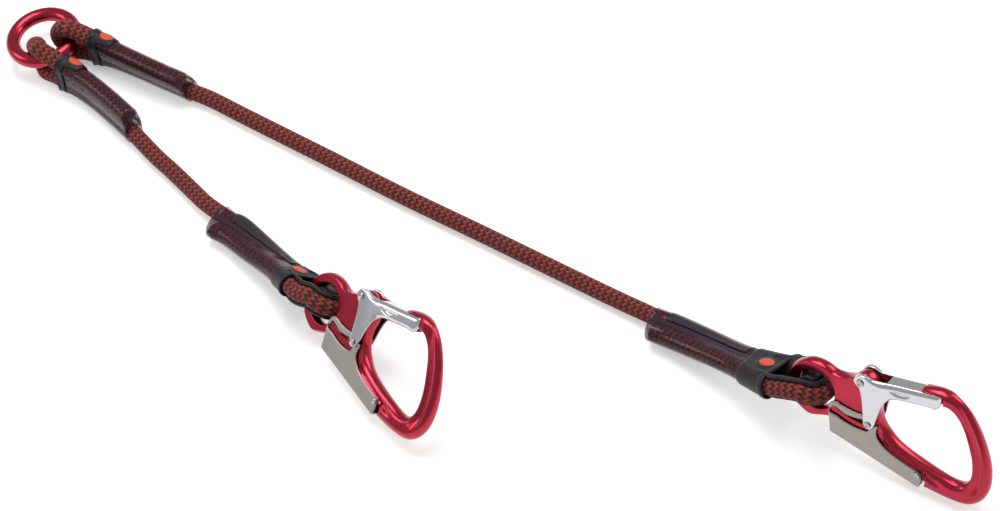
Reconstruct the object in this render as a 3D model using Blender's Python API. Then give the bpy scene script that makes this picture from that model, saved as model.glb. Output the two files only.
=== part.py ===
"""Twin rope lanyard: a ring, two rope legs of unlike length, and a palm-lever scaffold hook on each leg.

The lanyard lies on a table, its long leg along +X. Lengths are in metres and +Z is up. Each hook is
drawn in its own plan, with the gate's hinge at the plan's origin, and is then set down on the table.
"""

import math

import bmesh
import bpy
import numpy as np
from mathutils import Euler, Matrix, Vector

MM = 0.001
TOUCH = 0.3 * MM

# Rope, and the pieces that dress its eyes
ROPE_DIAMETER = 12.0 * MM
ROPE_CLEARANCE = 0.45 * MM
RUN_GAP = 1.2 * MM
SLEEVE_WALL = 0.6 * MM
BOOT_WALL = 1.5 * MM
THIMBLE_WALL = 1.1 * MM
LABEL_THICKNESS = 0.4 * MM
DOT_LENGTH = 11.0 * MM
DOT_WIDTH = 6.0 * MM
DOT_THICKNESS = 0.7 * MM
DOT_FLAT_BEND = 60.0 * MM
DOT_LEAN = 27.0
THREAD_DIAMETER = 1.1 * MM
STITCH_PITCH = 5.0 * MM
STITCH_DEPTH = 5.2 * MM
STITCH_SWING = 1.5 * MM
SLEEVE_LIP = 0.3 * MM
COLLAR_LENGTH = 4.0 * MM
COLLAR_SPREAD = 0.02
TAPER_POWER = 0.8
LOOP_PLAY = 0.05 * MM
LOW_STRAND_HEIGHT = 6.4 * MM
LABEL_REACH = 4.5 * MM
LABEL_ANGLES = (105, 80, 55, 30, 5)
THIMBLE_AIM = 5.0 * MM
THIMBLE_ANGLES = (-50, -30, -10, 10, 30, 50)

# Ring
RING_OUTER_DIAMETER = 56.7 * MM
RING_TUBE_DIAMETER = 10.5 * MM

# Hook: thicknesses, pins and travel
HOOK_LENGTH = 148.4 * MM
FRAME_THICKNESS = 11.0 * MM
NECK_THICKNESS = 8.4 * MM
FRAME_EDGE = 2.9 * MM
PLATE_THICKNESS = 1.3 * MM
CHEEK_THICKNESS = 1.6 * MM
GATE_EDGE = 1.6 * MM
GATE_POCKET_DEPTH = 1.5 * MM
GATE_PIN_DIAMETER = 4.0 * MM
ARM_PIN_DIAMETER = 3.4 * MM
RIVET_DIAMETER = 3.2 * MM
HEAD_THICKNESS = 0.8 * MM
HEAD_OVERHANG = 0.8 * MM
GROOVE_DEPTH = 1.6 * MM
GROOVE_RADIUS = 3.0 * MM
TONGUE_THICKNESS = 4.4 * MM
GATE_SPRING_DIAMETER = 3.8 * MM
LEVER_SPRING_DIAMETER = 5.0 * MM
SPRING_WIRE = 0.8 * MM
GATE_OPENS = 42.0
LEVER_SQUEEZES = 5.0
CHEEK_EDGE = 0.3 * MM
PLATE_EDGE = 0.35 * MM
PIN_PLAY = 0.15 * MM
CUT_PAST = 1.0 * MM
SPRING_BORE_OPENING = 8.0 * MM

# The table's origin, seen from the ring's centre: the middle of the footprint
TABLE_ORIGIN = Vector((385.4, -58.2, 0.0)) * MM

ROPE_RADIUS = ROPE_DIAMETER / 2
SLEEVE_BORE = ROPE_RADIUS + ROPE_CLEARANCE
SLEEVE_RADIUS = SLEEVE_BORE + SLEEVE_WALL
BOOT_RADIUS = SLEEVE_BORE + BOOT_WALL
THIMBLE_RADIUS = SLEEVE_BORE + THIMBLE_WALL
LABEL_SEAT = SLEEVE_RADIUS + 2 * TOUCH
DOT_SEAT = BOOT_RADIUS + 2 * TOUCH
RING_TUBE_RADIUS = RING_TUBE_DIAMETER / 2
RING_RADIUS = RING_OUTER_DIAMETER / 2 - RING_TUBE_RADIUS
LOOP_RISE = RING_TUBE_RADIUS + ROPE_RADIUS + ROPE_CLEARANCE + LOOP_PLAY
RING_HEIGHT = LOW_STRAND_HEIGHT + LOOP_RISE

# Hook plan: points are in units of the plan, whose length is PLAN_SPAN
PLAN_SPAN = 150.2
PLAN = HOOK_LENGTH / PLAN_SPAN
EYE = Vector((-27.3, -30.2, 0.0)) * PLAN
EYE_OUTER = 21.6 * PLAN
EYE_HOLE = 13.2 * PLAN
ARM_PIN = Vector((14.4, -27.9, 0.0)) * PLAN
RIVET = Vector((56.0, -43.9, 0.0)) * PLAN
FRAME_HALF = FRAME_THICKNESS / 2
NECK_HALF = NECK_THICKNESS / 2
PLATE_IN = NECK_HALF + TOUCH
PLATE_OUT = PLATE_IN + PLATE_THICKNESS
CHEEK_IN = PLATE_OUT + TOUCH
CHEEK_OUT = CHEEK_IN + CHEEK_THICKNESS

# Loops through the hook eyes, from the middle of the eye in the hook's own axes
EYE_TURN = 13.2 * MM
EYE_TURN_MIDDLE = -7.0 * MM
EYE_TURN_RISE = 1.5 * MM
EYE_TURN_FAR = [(-17.0, -5.2, -13.4)]

# The legs, from the ring's centre. A pair is the strand that comes from the run, and the tail
LONG_RING = (
    [(123.0, 19.6, 7.5), (113.5, 19.3, 7.4)],
    [((104, 18.9, 7.3), (104, 16.0, 20.0)), ((82, 18.0, 7.4), (82, 15.5, 20.1)),
     ((65, 16.9, 7.6), (65, 15.1, 20.3)), ((50, 15.2, 8.0), (50, 14.4, 21.7)),
     ((32, 12.0, 7.9), (32, 12.2, 26.8))],
)
SHORT_RING = (
    [(111.0, -31.2, 7.5), (101.0, -28.8, 7.4)],
    [((92, -26.6, 7.3), (92, -24.0, 20.0)), ((75, -22.8, 7.4), (75, -20.4, 20.1)),
     ((60, -20.3, 7.6), (60, -17.8, 20.3)), ((45, -18.6, 8.0), (45, -16.7, 22.2)),
     ((27.5, -17.6, 8.0), (27.5, -17.0, 27.3))],
)
LONG_HOOK = (
    [(531.5, 20.3, 7.5), (541.0, 21.3, 7.8)],
    [((551.9, 22.15, 8.2), (552.1, 9.45, 10.4)), ((574.7, 20.75, 11.95), (575.1, 8.25, 15.05)),
     ((592.4, 18.65, 16.1), (592.8, 6.35, 19.9)), ((610.6, 16.4, 21.45), (611.0, 3.4, 25.55)),
     ((627.7, 16.45, 26.5), (628.3, -1.25, 32.1)), ((644.6, 17.4, 31.8), (645.4, -5.8, 39.2))],
)
SHORT_HOOK = (
    [(216.0, -57.6, 7.5), (228.0, -59.2, 7.6)],
    [((239.5, -59.3, 7.75), (236.5, -71.7, 9.05)), ((263.6, -65.2, 8.5), (260.4, -76.8, 12.7)),
     ((285.6, -71.2, 10.5), (282.4, -81.6, 17.5)), ((303.0, -75.4, 12.4), (299.0, -87.0, 22.8)),
     ((321.5, -77.2, 13.3), (315.7, -93.6, 29.9))],
)
LONG_RUN = [
    (142, 21.9, 6.3), (178, 21.5, 6.1), (250, 20.9, 6.1), (320, 19.9, 6.1), (387, 20.5, 6.1),
    (452, 20.6, 6.1), (500, 20.7, 6.3),
]
SHORT_RUN = [
    (140, -39.5, 6.4), (156, -43.2, 6.1), (172, -47.3, 6.1), (187, -51.4, 6.2), (202, -55.4, 6.9),
]

RING_BOOT_STEP = 5

# Where each hook's eye is, and its turns about X, Y and Z
LONG_STAND = ((673.3, 9.0, 40.6), (72.09, 11.0, -1.43))
SHORT_STAND = ((346.2, -90.8, 26.0), (46.24, 2.5, -21.97))

# Each loop's turn at the ring: where it crosses the ring, its heading, and how far it reaches over it
LONG_RING_TURN = ((21.1, 9.4), 9.0, 12.6)
SHORT_RING_TURN = ((15.8, -17.3), -25.0, 14.6)

COLOURS = {
    "rope": ((0.10, 0.035, 0.025, 1.0), 0.85, 0.0),
    "red": ((0.46, 0.02, 0.045, 1.0), 0.28, 0.9),
    "silver": ((0.72, 0.73, 0.75, 1.0), 0.22, 1.0),
    "steel": ((0.50, 0.48, 0.45, 1.0), 0.38, 1.0),
    "dark steel": ((0.30, 0.30, 0.31, 1.0), 0.35, 1.0),
    "sleeve": ((0.09, 0.07, 0.09, 1.0), 0.35, 0.0),
    "rubber": ((0.03, 0.03, 0.035, 1.0), 0.6, 0.0),
    "dot": ((0.75, 0.09, 0.03, 1.0), 0.45, 0.0),
    "thread": ((0.75, 0.72, 0.68, 1.0), 0.8, 0.0),
}

for old in list(bpy.data.objects):
    bpy.data.objects.remove(old, do_unlink=True)


def finish(node, look):
    """Gives the node a material of its own."""
    colour, roughness, metallic = COLOURS[look]
    material = bpy.data.materials.new(node.name)
    material.use_nodes = True
    shader = material.node_tree.nodes["Principled BSDF"]
    shader.inputs["Base Color"].default_value = colour
    shader.inputs["Roughness"].default_value = roughness
    shader.inputs["Metallic"].default_value = metallic
    node.data.materials.clear()
    node.data.materials.append(material)
    return node


def link(name, data, parent, location=(0, 0, 0)):
    """Puts new data in the scene under its parent."""
    made = bpy.data.objects.new(name, data)
    bpy.context.scene.collection.objects.link(made)
    made.parent = parent
    made.location = location
    return made


def smooth(node, angle=35.0):
    """Shades round surfaces smooth and keeps sharp edges."""
    node.data.shade_smooth()
    node.data.set_sharp_from_angle(angle=math.radians(angle))
    return node


def helper(node):
    """Marks a cutter, which shapes other pieces and isn't one itself."""
    node.hide_render = True
    node.display_type = "WIRE"
    return node


def combine(node, other, operation):
    """Adds a Boolean modifier."""
    step = node.modifiers.new(f"{operation} {other.name}", "BOOLEAN")
    step.operation = operation
    step.object = other
    step.solver = "EXACT"


def cut(node, *cutters):
    for cutter in cutters:
        combine(node, helper(cutter), "DIFFERENCE")


def fuse(node, *others):
    for other in others:
        combine(node, helper(other), "UNION")


def spline_points(points, per_span, closed):
    """Reads a smooth curve through the points, per_span steps from each to the next."""
    given = [Vector(point) for point in points]
    count = len(given)
    if not closed:
        given = [2 * given[0] - given[1], *given, 2 * given[-1] - given[-2]]
    read = []
    for index in range(count if closed else count - 1):
        corners = [given[(index + k - (1 if closed else 0)) % len(given)] for k in range(4)]
        before, start, end, after = corners
        for step in range(per_span):
            t = step / per_span
            bend = (2 * before - 5 * start + 4 * end - after) * t * t
            twist = (3 * start - before - 3 * end + after) * t * t * t
            read.append((2 * start + (end - before) * t + bend + twist) / 2)
    if not closed:
        read.append(given[-2])
    return read


def even_route(points, spacing):
    """A smooth route through the points, with a point at each even spacing."""
    fine = np.array([point[:] for point in spline_points(points, 24, False)])
    run = np.concatenate([[0], np.cumsum(np.linalg.norm(np.diff(fine, axis=0), axis=1))])
    count = max(2, round(run[-1] / spacing) + 1)
    along = np.linspace(0, run[-1], count)
    return [Vector([float(np.interp(s, run, fine[:, axis])) for axis in range(3)]) for s in along]


def tube(name, route, radius, sides_level, parent, look=None):
    """A round tube along a route, with flat capped ends."""
    curve = bpy.data.curves.new(name, "CURVE")
    curve.dimensions = "3D"
    curve.bevel_depth = radius
    curve.bevel_resolution = sides_level
    curve.use_fill_caps = True
    spline = curve.splines.new("POLY")
    spline.points.add(len(route) - 1)
    for target, point in zip(spline.points, route):
        target.co = (*point, 1.0)
    spline.use_smooth = True
    made = link(name, curve, parent)
    return finish(made, look) if look else made


def to_mesh(made):
    """Turns a curve object into a mesh object of the same name and place."""
    bpy.context.view_layer.update()
    graph = bpy.context.evaluated_depsgraph_get()
    mesh = bpy.data.meshes.new_from_object(made.evaluated_get(graph))
    name, parent, location = made.name, made.parent, made.location.copy()
    bpy.data.objects.remove(made, do_unlink=True)
    work = bmesh.new()
    work.from_mesh(mesh)
    bmesh.ops.remove_doubles(work, verts=work.verts, dist=1e-6)
    bmesh.ops.recalc_face_normals(work, faces=work.faces)
    work.to_mesh(mesh)
    work.free()
    mesh.name = name
    return link(name, mesh, parent, location)


def prism(name, outlines, half, edge, parent, location=(0, 0, 0), middle=0.0, edge_steps=0):
    """A flat plate with rounded edges: the first outline is its rim, and any others are its holes."""
    curve = bpy.data.curves.new(name, "CURVE")
    curve.dimensions = "2D"
    curve.fill_mode = "BOTH"
    curve.extrude = half - edge
    curve.bevel_depth = edge
    curve.bevel_resolution = edge_steps
    curve.offset = -edge
    for outline in outlines:
        spline = curve.splines.new("POLY")
        spline.points.add(len(outline) - 1)
        for target, point in zip(spline.points, outline):
            target.co = (point[0], point[1], 0.0, 1.0)
        spline.use_cyclic_u = True
    made = to_mesh(link(name, curve, parent, location))
    made.data.transform(Matrix.Translation((0, 0, middle)))
    return made


def turned(name, profile, centre, parent, location=(0, 0, 0), sides=14):
    """A solid turned about Z: the profile is (radius, height) points from its bottom to its top."""
    work = bmesh.new()
    line = [work.verts.new((radius, 0, height)) for radius, height in profile]
    edges = [work.edges.new(pair) for pair in zip(line, line[1:])]
    bmesh.ops.spin(
        work, geom=line + edges, cent=(0, 0, 0), axis=(0, 0, 1), angle=math.tau, steps=sides
    )
    bmesh.ops.remove_doubles(work, verts=work.verts, dist=1e-7)
    bmesh.ops.translate(work, verts=work.verts, vec=Vector(centre))
    bmesh.ops.recalc_face_normals(work, faces=work.faces)
    mesh = bpy.data.meshes.new(name)
    work.to_mesh(mesh)
    work.free()
    return link(name, mesh, parent, location)


def rod(name, radius, low, high, centre, parent, location=(0, 0, 0)):
    """A plain round rod along Z."""
    profile = [(0, low), (radius, low), (radius, high), (0, high)]
    return turned(name, profile, centre, parent, location)


def headed_pin(name, radius, seat, centre, parent, location=(0, 0, 0)):
    """A pin across the hook, with a flat head outside each cheek or plate."""
    head = radius + HEAD_OVERHANG
    top = seat + HEAD_THICKNESS
    profile = [(0, -top), (head, -top), (head, -seat), (radius, -seat)]
    profile += [(r, -z) for r, z in reversed(profile)]
    return turned(name, profile, centre, parent, location)


def loft(name, sections, parent, ring=False):
    """A closed skin through like sections. A ring's last section joins its first, as on a pipe's wall."""
    work = bmesh.new()
    rows = [[work.verts.new(point) for point in section] for section in sections]
    pairs = list(zip(rows, rows[1:]))
    if ring:
        pairs.append((rows[-1], rows[0]))
    else:
        work.faces.new(rows[0])
        work.faces.new(rows[-1])
    for first, second in pairs:
        for k in range(len(first)):
            after = (k + 1) % len(first)
            work.faces.new((first[k], first[after], second[after], second[k]))
    bmesh.ops.recalc_face_normals(work, faces=work.faces)
    mesh = bpy.data.meshes.new(name)
    work.to_mesh(mesh)
    work.free()
    return link(name, mesh, parent)


def arc(centre, radius, start, end, steps):
    """Points along an arc, with angles in degrees."""
    angles = [math.radians(start + (end - start) * k / steps) for k in range(steps + 1)]
    return [Vector(centre) + radius * Vector((math.cos(a), math.sin(a), 0)) for a in angles]


def circle(centre, radius, sides):
    return arc(centre, radius, 0, 360, sides)[:-1]


def band_outline(path, half_width, end_steps=5):
    """The outline of a slot of even width, with round ends, along a path in the plan."""
    left, right = [], []
    for index, point in enumerate(path):
        ahead = path[min(index + 1, len(path) - 1)]
        behind = path[max(index - 1, 0)]
        side = Vector((behind.y - ahead.y, ahead.x - behind.x, 0)).normalized() * half_width
        left.append(point + side)
        right.append(point - side)

    def cap(middle, start):
        turn = [Matrix.Rotation(-math.pi * k / end_steps, 3, "Z") for k in range(1, end_steps)]
        return [middle + spin @ (start - middle) for spin in turn]

    return left + cap(path[-1], left[-1]) + right[::-1] + cap(path[0], right[0])


def plan(points):
    """Plan points in metres. A third value of 1 marks a sharp corner; the rest is drawn smooth."""
    runs = []
    corners = [index for index, point in enumerate(points) if len(point) > 2]
    if not corners:
        flat = [Vector((x, y, 0)) * PLAN for x, y in points]
        return spline_points(flat, 2, True)
    turned_points = points[corners[0]:] + points[: corners[0]] + [points[corners[0]]]
    run = []
    for point in turned_points:
        run.append(Vector((point[0], point[1], 0)) * PLAN)
        if len(point) > 2 and len(run) > 1:
            steps = 2 if len(run) > 2 else 1
            runs += spline_points(run, steps, False)[:-1]
            run = [run[-1]]
    return runs


# Hook plan, seen from the gate's marked side: +X runs from the rope eye to the bow, +Y to the gate
SPINE_FOOT = -51.2
FRAME_RIM = [
    (-24.0, -51.6), (-32.0, -51.3), (-40.0, -47.7), (-46.5, -40.0), (-48.9, -30.2), (-46.6, -20.5),
    (-40.5, -13.0), (-33.5, -9.5), (-26.5, -8.6), (-19.0, -9.4), (-12.5, -7.2), (-7.3, -3.0),
    (-4.6, 1.6), (-0.5, 4.9), (5.0, 4.6), (10.5, 1.5, 1), (16.6, -1.5, 1), (17.2, -9.0), (17.5, -16.5),
    (20.0, -23.0), (25.0, -28.4), (31.5, -32.0), (40.0, -34.4), (51.0, -35.5), (65.0, -35.6),
    (77.0, -34.9), (84.3, -31.8), (87.2, -25.5), (86.3, -17.5), (83.0, -8.8), (78.0, -0.4),
    (72.0, 8.0), (65.0, 14.6), (58.5, 17.4), (53.0, 15.8), (46.0, 13.2), (39.5, 13.0),
    (36.4, 16.0), (37.6, 20.6), (46.0, 25.4), (54.0, 27.3),
    (62.5, 26.2), (72.0, 21.2), (81.5, 12.8), (90.3, 2.0), (96.6, -8.5), (100.2, -18.5),
    (101.3, -27.5), (99.6, -36.0), (95.0, -42.8), (88.0, -46.8), (78.0, -49.5), (68.0, -51.2),
    (61.6, -51.9, 1), (60.6, -46.8, 1), (48.0, -46.4), (20.0, -45.4), (-4.0, -44.2), (-12.5, -44.6),
]
PLATE_RIM = [
    (-8.3, -52.6, 1), (59.5, -52.6, 1), (59.6, -46.2), (57.4, -41.5, 1), (48.0, -41.3), (40.0, -40.9),
    (32.0, -39.8), (26.3, -37.6), (22.2, -34.6), (20.6, -30.6), (20.2, -26.8), (15.5, -24.2),
    (9.5, -24.6), (3.0, -26.6), (-5.0, -27.7), (-10.8, -27.7), (-14.0, -29.6), (-14.9, -33.0),
    (-13.8, -38.5), (-10.8, -45.5),
]
BAR_RIM = [
    (-5.0, -0.8), (-3.4, 4.0), (1.2, 5.9), (8.0, 6.3), (20.0, 11.2), (35.0, 17.7), (46.6, 22.9),
    (51.6, 24.2, 1), (52.6, 18.4), (51.4, 12.8, 1), (45.0, 10.4), (35.0, 6.0), (26.0, 2.2),
    (20.0, -1.2), (15.0, -5.4), (6.0, -7.4), (-2.0, -5.4),
]
CHEEK_RIM = [
    (-5.0, -0.8), (-3.6, 3.6), (0.6, 5.6), (8.0, 5.6), (15.5, 3.6), (18.2, -3.0), (18.3, -14.0),
    (18.6, -25.0), (17.6, -29.6), (14.6, -31.6), (11.6, -29.9), (9.0, -23.5), (5.2, -13.5),
    (1.0, -5.5), (-2.6, -3.4),
]
NOSE_SIDE = [
    (33.0, 8.0), (55.0, 8.0), (55.0, 17.0), (54.2, 20.0), (53.3, 22.6), (53.3, 24.9), (46.4, 23.5),
    (40.0, 20.9), (33.0, 17.9),
]
NOSE_UNDERSIDE = [
    (32.0, 7.0), (55.2, 7.0), (55.2, 16.8), (47.0, 16.8), (47.0, 23.8), (46.4, 23.5), (40.0, 20.9),
    (32.0, 17.5),
]
BAR_SLOPE = 24.3
BAR_MIDDLE = 3.8
BAR_POCKET = ((21.5, -3.6), (38.5, -4.4))
BAR_POCKET_HALF = 3.1
NECK_SWEEP = [
    (-14.0, -14.0), (-14.0, 12.0), (8.0, 14.0), (13.6, 11.2), (17.0, 7.6), (19.4, 4.4), (21.4, 2.2),
    (24.8, 0.0), (25.6, -3.5), (24.0, -14.0),
]
TONGUE_SLIT = [(45.2, 13.2), (60.0, 10.0), (60.0, 30.0), (43.5, 25.0)]
ARM_ROOM = [(-12.0, -40.0), (24.0, -40.0), (24.0, -9.0), (-12.0, -9.0)]
LEVER_ROOM = [(-40.0, SPINE_FOOT), (80.0, SPINE_FOOT), (80.0, 0.0), (-40.0, 0.0)]
SPRING_SEAT = 26.0
SPRING_FAR = 41.0
GATE_SPRING_TURNS = 5
LEVER_SPRING_TURNS = 3
PIN_ARC = math.degrees(math.atan2(ARM_PIN.y, ARM_PIN.x))
FRAME_SLOT_HALF = 3.2
FLAT_EDGE = [
    (61.2, -56.0), (61.0, -44.6), (58.2, -39.8), (48.0, -39.3), (40.0, -38.6), (33.6, -37.2),
    (28.6, -34.8), (25.2, -31.6), (23.6, -27.6), (25.0, -20.0), (25.0, 10.0), (-56.0, 10.0),
    (-56.0, -56.0),
]
LEVER_SPRING_X = 24.0
LEVER_SPRING_LENGTH = 7.5 * MM
LEVER_SPRING_ROOM = 11.6 * MM
LEVER_SLOT_OFFSET = 4.2
LEVER_SLOT_RADIUS = ARM_PIN.length + LEVER_SLOT_OFFSET * PLAN
LEVER_SLOT_ARC = (-69.3, -106.0)
LEVER_SLOT_HALF = 3.0
BOW_GROOVE = [(61.0, 23.0), (70.0, 16.8), (79.5, 7.2), (87.0, -3.6), (92.0, -15.0), (93.8, -26.0)]
SPINE_GROOVE = [(24.0, -33.5), (31.0, -38.0), (42.0, -40.0), (60.0, -41.4), (76.0, -41.2)]


def pin_track():
    """The arm pin's path in the lever's plan, as the gate opens and the lever is squeezed with it."""
    path = []
    for step in range(-1, 10):
        share = step / 8
        pin = Matrix.Rotation(-math.radians(GATE_OPENS * share), 4, "Z") @ ARM_PIN
        back = Matrix.Rotation(math.radians(LEVER_SQUEEZES * share), 4, "Z")
        path.append(RIVET + back @ (pin - RIVET))
    return path


def hook_frame(prefix, parent, location):
    """The forged frame: rope eye, neck, spine, bow and nose."""
    eye_hole = circle(EYE, EYE_HOLE, 32)
    frame = prism(
        f"{prefix}_hook_frame",
        [plan(FRAME_RIM), eye_hole],
        FRAME_HALF,
        FRAME_EDGE,
        parent,
        location,
        edge_steps=1,
    )
    slot = arc((0, 0, 0), ARM_PIN.length, PIN_ARC + 1, PIN_ARC - GATE_OPENS - 1, 10)
    through = FRAME_HALF + CUT_PAST
    slot_cutter = prism(
        "frame slot", [band_outline(slot, FRAME_SLOT_HALF * PLAN)], through, 0, parent, location
    )
    gate_hole = rod(
        "gate pin hole", GATE_PIN_DIAMETER / 2 + TOUCH, -through, through, (0, 0, 0), parent, location
    )
    rivet_hole = rod(
        "rivet hole", RIVET_DIAMETER / 2 + TOUCH, -through, through, RIVET, parent, location
    )
    pocket_radius = LEVER_SPRING_DIAMETER / 2 + 2 * TOUCH
    pocket = rod(
        "spring pocket", pocket_radius, -2 * CUT_PAST, LEVER_SPRING_ROOM, (0, 0, 0), parent, location
    )
    pocket_seat = Vector((LEVER_SPRING_X * PLAN, SPINE_FOOT * PLAN, 0))
    turn = Matrix.Rotation(-math.pi / 2, 4, "X")
    pocket.data.transform(Matrix.Translation(pocket_seat) @ turn)
    cut(frame, slot_cutter, gate_hole, rivet_hole, pocket)
    flat = [Vector((x, y, 0)) * PLAN for x, y in FLAT_EDGE]
    for side in (1, -1):
        middle = side * (NECK_HALF + FRAME_HALF)
        cut(frame, prism("neck flat", [flat], FRAME_HALF, 0, parent, location, middle))
        height = side * (FRAME_HALF + GROOVE_RADIUS - GROOVE_DEPTH)
        for label, path in (("bow", BOW_GROOVE), ("spine", SPINE_GROOVE)):
            route = [Vector((x * PLAN, y * PLAN, height)) for x, y in path]
            route = spline_points(route, 2, False)
            groove = tube(f"{label} groove", route, GROOVE_RADIUS, 1, parent)
            groove.location = location
            cut(frame, to_mesh(groove))
        side_half = (FRAME_HALF - TONGUE_THICKNESS / 2 + CUT_PAST) / 2
        middle = side * (TONGUE_THICKNESS / 2 + side_half)
        beside = [Vector((x, y, 0)) * PLAN for x, y in NOSE_SIDE]
        cut(frame, prism("nose side", [beside], side_half, 0, parent, location, middle))
    below = [Vector((x, y, 0)) * PLAN for x, y in NOSE_UNDERSIDE]
    cut(frame, prism("nose underside", [below], through, 0, parent, location))
    return smooth(finish(frame, "red"))


def hook_gate(prefix, parent):
    """The gate: a bar that closes the basket, and two cheeks that straddle the neck down to the arm pin."""
    half = CHEEK_OUT
    gate = prism(f"{prefix}_hook_gate", [plan(BAR_RIM)], half, GATE_EDGE, parent, edge_steps=1)
    for side in (1, -1):
        middle = side * (CHEEK_IN + CHEEK_OUT) / 2
        cheek = prism(
            "gate cheek", [plan(CHEEK_RIM)], CHEEK_THICKNESS / 2, CHEEK_EDGE, parent, middle=middle
        )
        fuse(gate, cheek)
    swept = [Vector((x, y, 0)) * PLAN for x, y in NECK_SWEEP]
    neck_room = prism("neck room", [swept], PLATE_IN, 0, parent)
    low = [Vector((x, y, 0)) * PLAN for x, y in ARM_ROOM]
    arm_room = prism("arm room", [low], PLATE_IN, 0, parent)
    past = half + CUT_PAST
    pin_hole = rod("gate hub hole", GATE_PIN_DIAMETER / 2 + TOUCH, -past, past, (0, 0, 0), parent)
    arm_hole = rod("arm pin hole", ARM_PIN_DIAMETER / 2 + TOUCH, -past, past, ARM_PIN, parent)
    slit = [Vector((x, y, 0)) * PLAN for x, y in TONGUE_SLIT]
    tongue_slit = prism("tongue slit", [slit], TONGUE_THICKNESS / 2 + 2 * TOUCH, 0, parent)
    cut(gate, neck_room, arm_room, pin_hole, arm_hole, tongue_slit)
    along = Vector((math.cos(math.radians(BAR_SLOPE)), math.sin(math.radians(BAR_SLOPE)), 0)) * PLAN
    across = Vector((-along.y, along.x, 0))
    ends = [along * far + across * up for far, up in BAR_POCKET]
    oval = band_outline(ends, BAR_POCKET_HALF * PLAN, 6)
    for side in (1, -1):
        middle = side * half
        cut(gate, prism("gate pocket", [oval], GATE_POCKET_DEPTH, 0, parent, middle=middle))
    bore_radius = GATE_SPRING_DIAMETER / 2 + TOUCH
    bore_start = SPRING_SEAT * PLAN - SPRING_BORE_OPENING
    bore = rod("spring bore", bore_radius, bore_start, SPRING_FAR * PLAN, (0, 0, 0), parent)
    aim_along_bar(bore)
    cut(gate, bore)
    return smooth(finish(gate, "silver"))


def aim_along_bar(node):
    """Turns a piece from Z to the gate bar's own line, in the middle of its depth."""
    slope = math.radians(BAR_SLOPE)
    across = Vector((-math.sin(slope), math.cos(slope), 0)) * PLAN
    turn = Matrix.Rotation(slope, 4, "Z") @ Matrix.Rotation(math.pi / 2, 4, "Y")
    node.data.transform(Matrix.Translation(-BAR_MIDDLE * across) @ turn)


def coil(name, radius, wire, low, high, turns, parent):
    """A coil spring along Z, as one wire."""
    steps = 7 * turns
    route = []
    for k in range(steps + 1):
        angle = math.tau * turns * k / steps
        rise = low + (high - low) * k / steps
        route.append(Vector((radius * math.cos(angle), radius * math.sin(angle), rise)))
    return to_mesh(tube(name, route, wire / 2, 0, parent))


def hook_lever(prefix, parent, location):
    """The palm lever: a folded channel round the spine, with a slot for the arm pin in each plate."""
    lever = prism(f"{prefix}_hook_lever", [plan(PLATE_RIM)], PLATE_OUT, PLATE_EDGE, parent, location)
    room = [Vector((x, y, 0)) * PLAN for x, y in LEVER_ROOM]
    channel = prism("lever channel", [room], PLATE_IN, 0, parent, location)
    through = PLATE_OUT + CUT_PAST
    sweep = arc((0, 0, 0), LEVER_SLOT_RADIUS, *LEVER_SLOT_ARC, 10)
    slot = band_outline(sweep, LEVER_SLOT_HALF * PLAN)
    slot_cutter = prism("lever slot", [slot], through, 0, parent, location)
    track = band_outline(pin_track(), ARM_PIN_DIAMETER / 2 + TOUCH + PIN_PLAY)
    track_cutter = prism("pin track", [track], through, 0, parent, location)
    hole = rod("lever rivet hole", RIVET_DIAMETER / 2 + TOUCH, -through, through, RIVET, parent, location)
    cut(lever, channel, slot_cutter, track_cutter, hole)
    return smooth(finish(lever, "steel"))


def hook(prefix, stand):
    """One hook, drawn round the middle of its rope eye."""
    hook_frame(prefix, stand, -EYE)
    gate_hinge = link(f"{prefix} gate hinge", None, stand, -EYE)
    lever_hinge = link(f"{prefix} lever hinge", None, stand, RIVET - EYE)

    hook_gate(prefix, gate_hinge)
    seat = CHEEK_OUT + TOUCH
    pin = headed_pin(
        f"{prefix}_hook_gate_pin", GATE_PIN_DIAMETER / 2, seat, (0, 0, 0), stand, -EYE
    )
    smooth(finish(pin, "dark steel"))
    arm_pin = headed_pin(
        f"{prefix}_hook_arm_pin", ARM_PIN_DIAMETER / 2, seat, ARM_PIN, gate_hinge
    )
    smooth(finish(arm_pin, "dark steel"))
    wire = SPRING_WIRE
    name = f"{prefix}_hook_gate_spring"
    mean = (GATE_SPRING_DIAMETER - wire) / 2
    low = SPRING_SEAT * PLAN
    high = SPRING_FAR * PLAN - TOUCH - wire / 2
    spring = coil(name, mean, wire, low, high, GATE_SPRING_TURNS, gate_hinge)
    aim_along_bar(spring)
    smooth(finish(spring, "dark steel"))

    hook_lever(prefix, lever_hinge, -RIVET)
    seat = PLATE_OUT + TOUCH
    rivet = headed_pin(f"{prefix}_hook_rivet", RIVET_DIAMETER / 2, seat, RIVET, stand, -EYE)
    smooth(finish(rivet, "dark steel"))
    name = f"{prefix}_hook_lever_spring"
    mean = (LEVER_SPRING_DIAMETER - wire) / 2
    low = TOUCH + wire / 2
    spring = coil(name, mean, wire, low, LEVER_SPRING_LENGTH, LEVER_SPRING_TURNS, lever_hinge)
    seat = Vector((LEVER_SPRING_X * PLAN, SPINE_FOOT * PLAN, 0))
    spring.data.transform(Matrix.Translation(seat) @ Matrix.Rotation(-math.pi / 2, 4, "X"))
    spring.location = -RIVET
    smooth(finish(spring, "dark steel"))


def way_at(route, index):
    """The direction of travel at one point of a route."""
    ahead = route[min(index + 1, len(route) - 1)]
    return (ahead - route[max(index - 1, 0)]).normalized()


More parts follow.
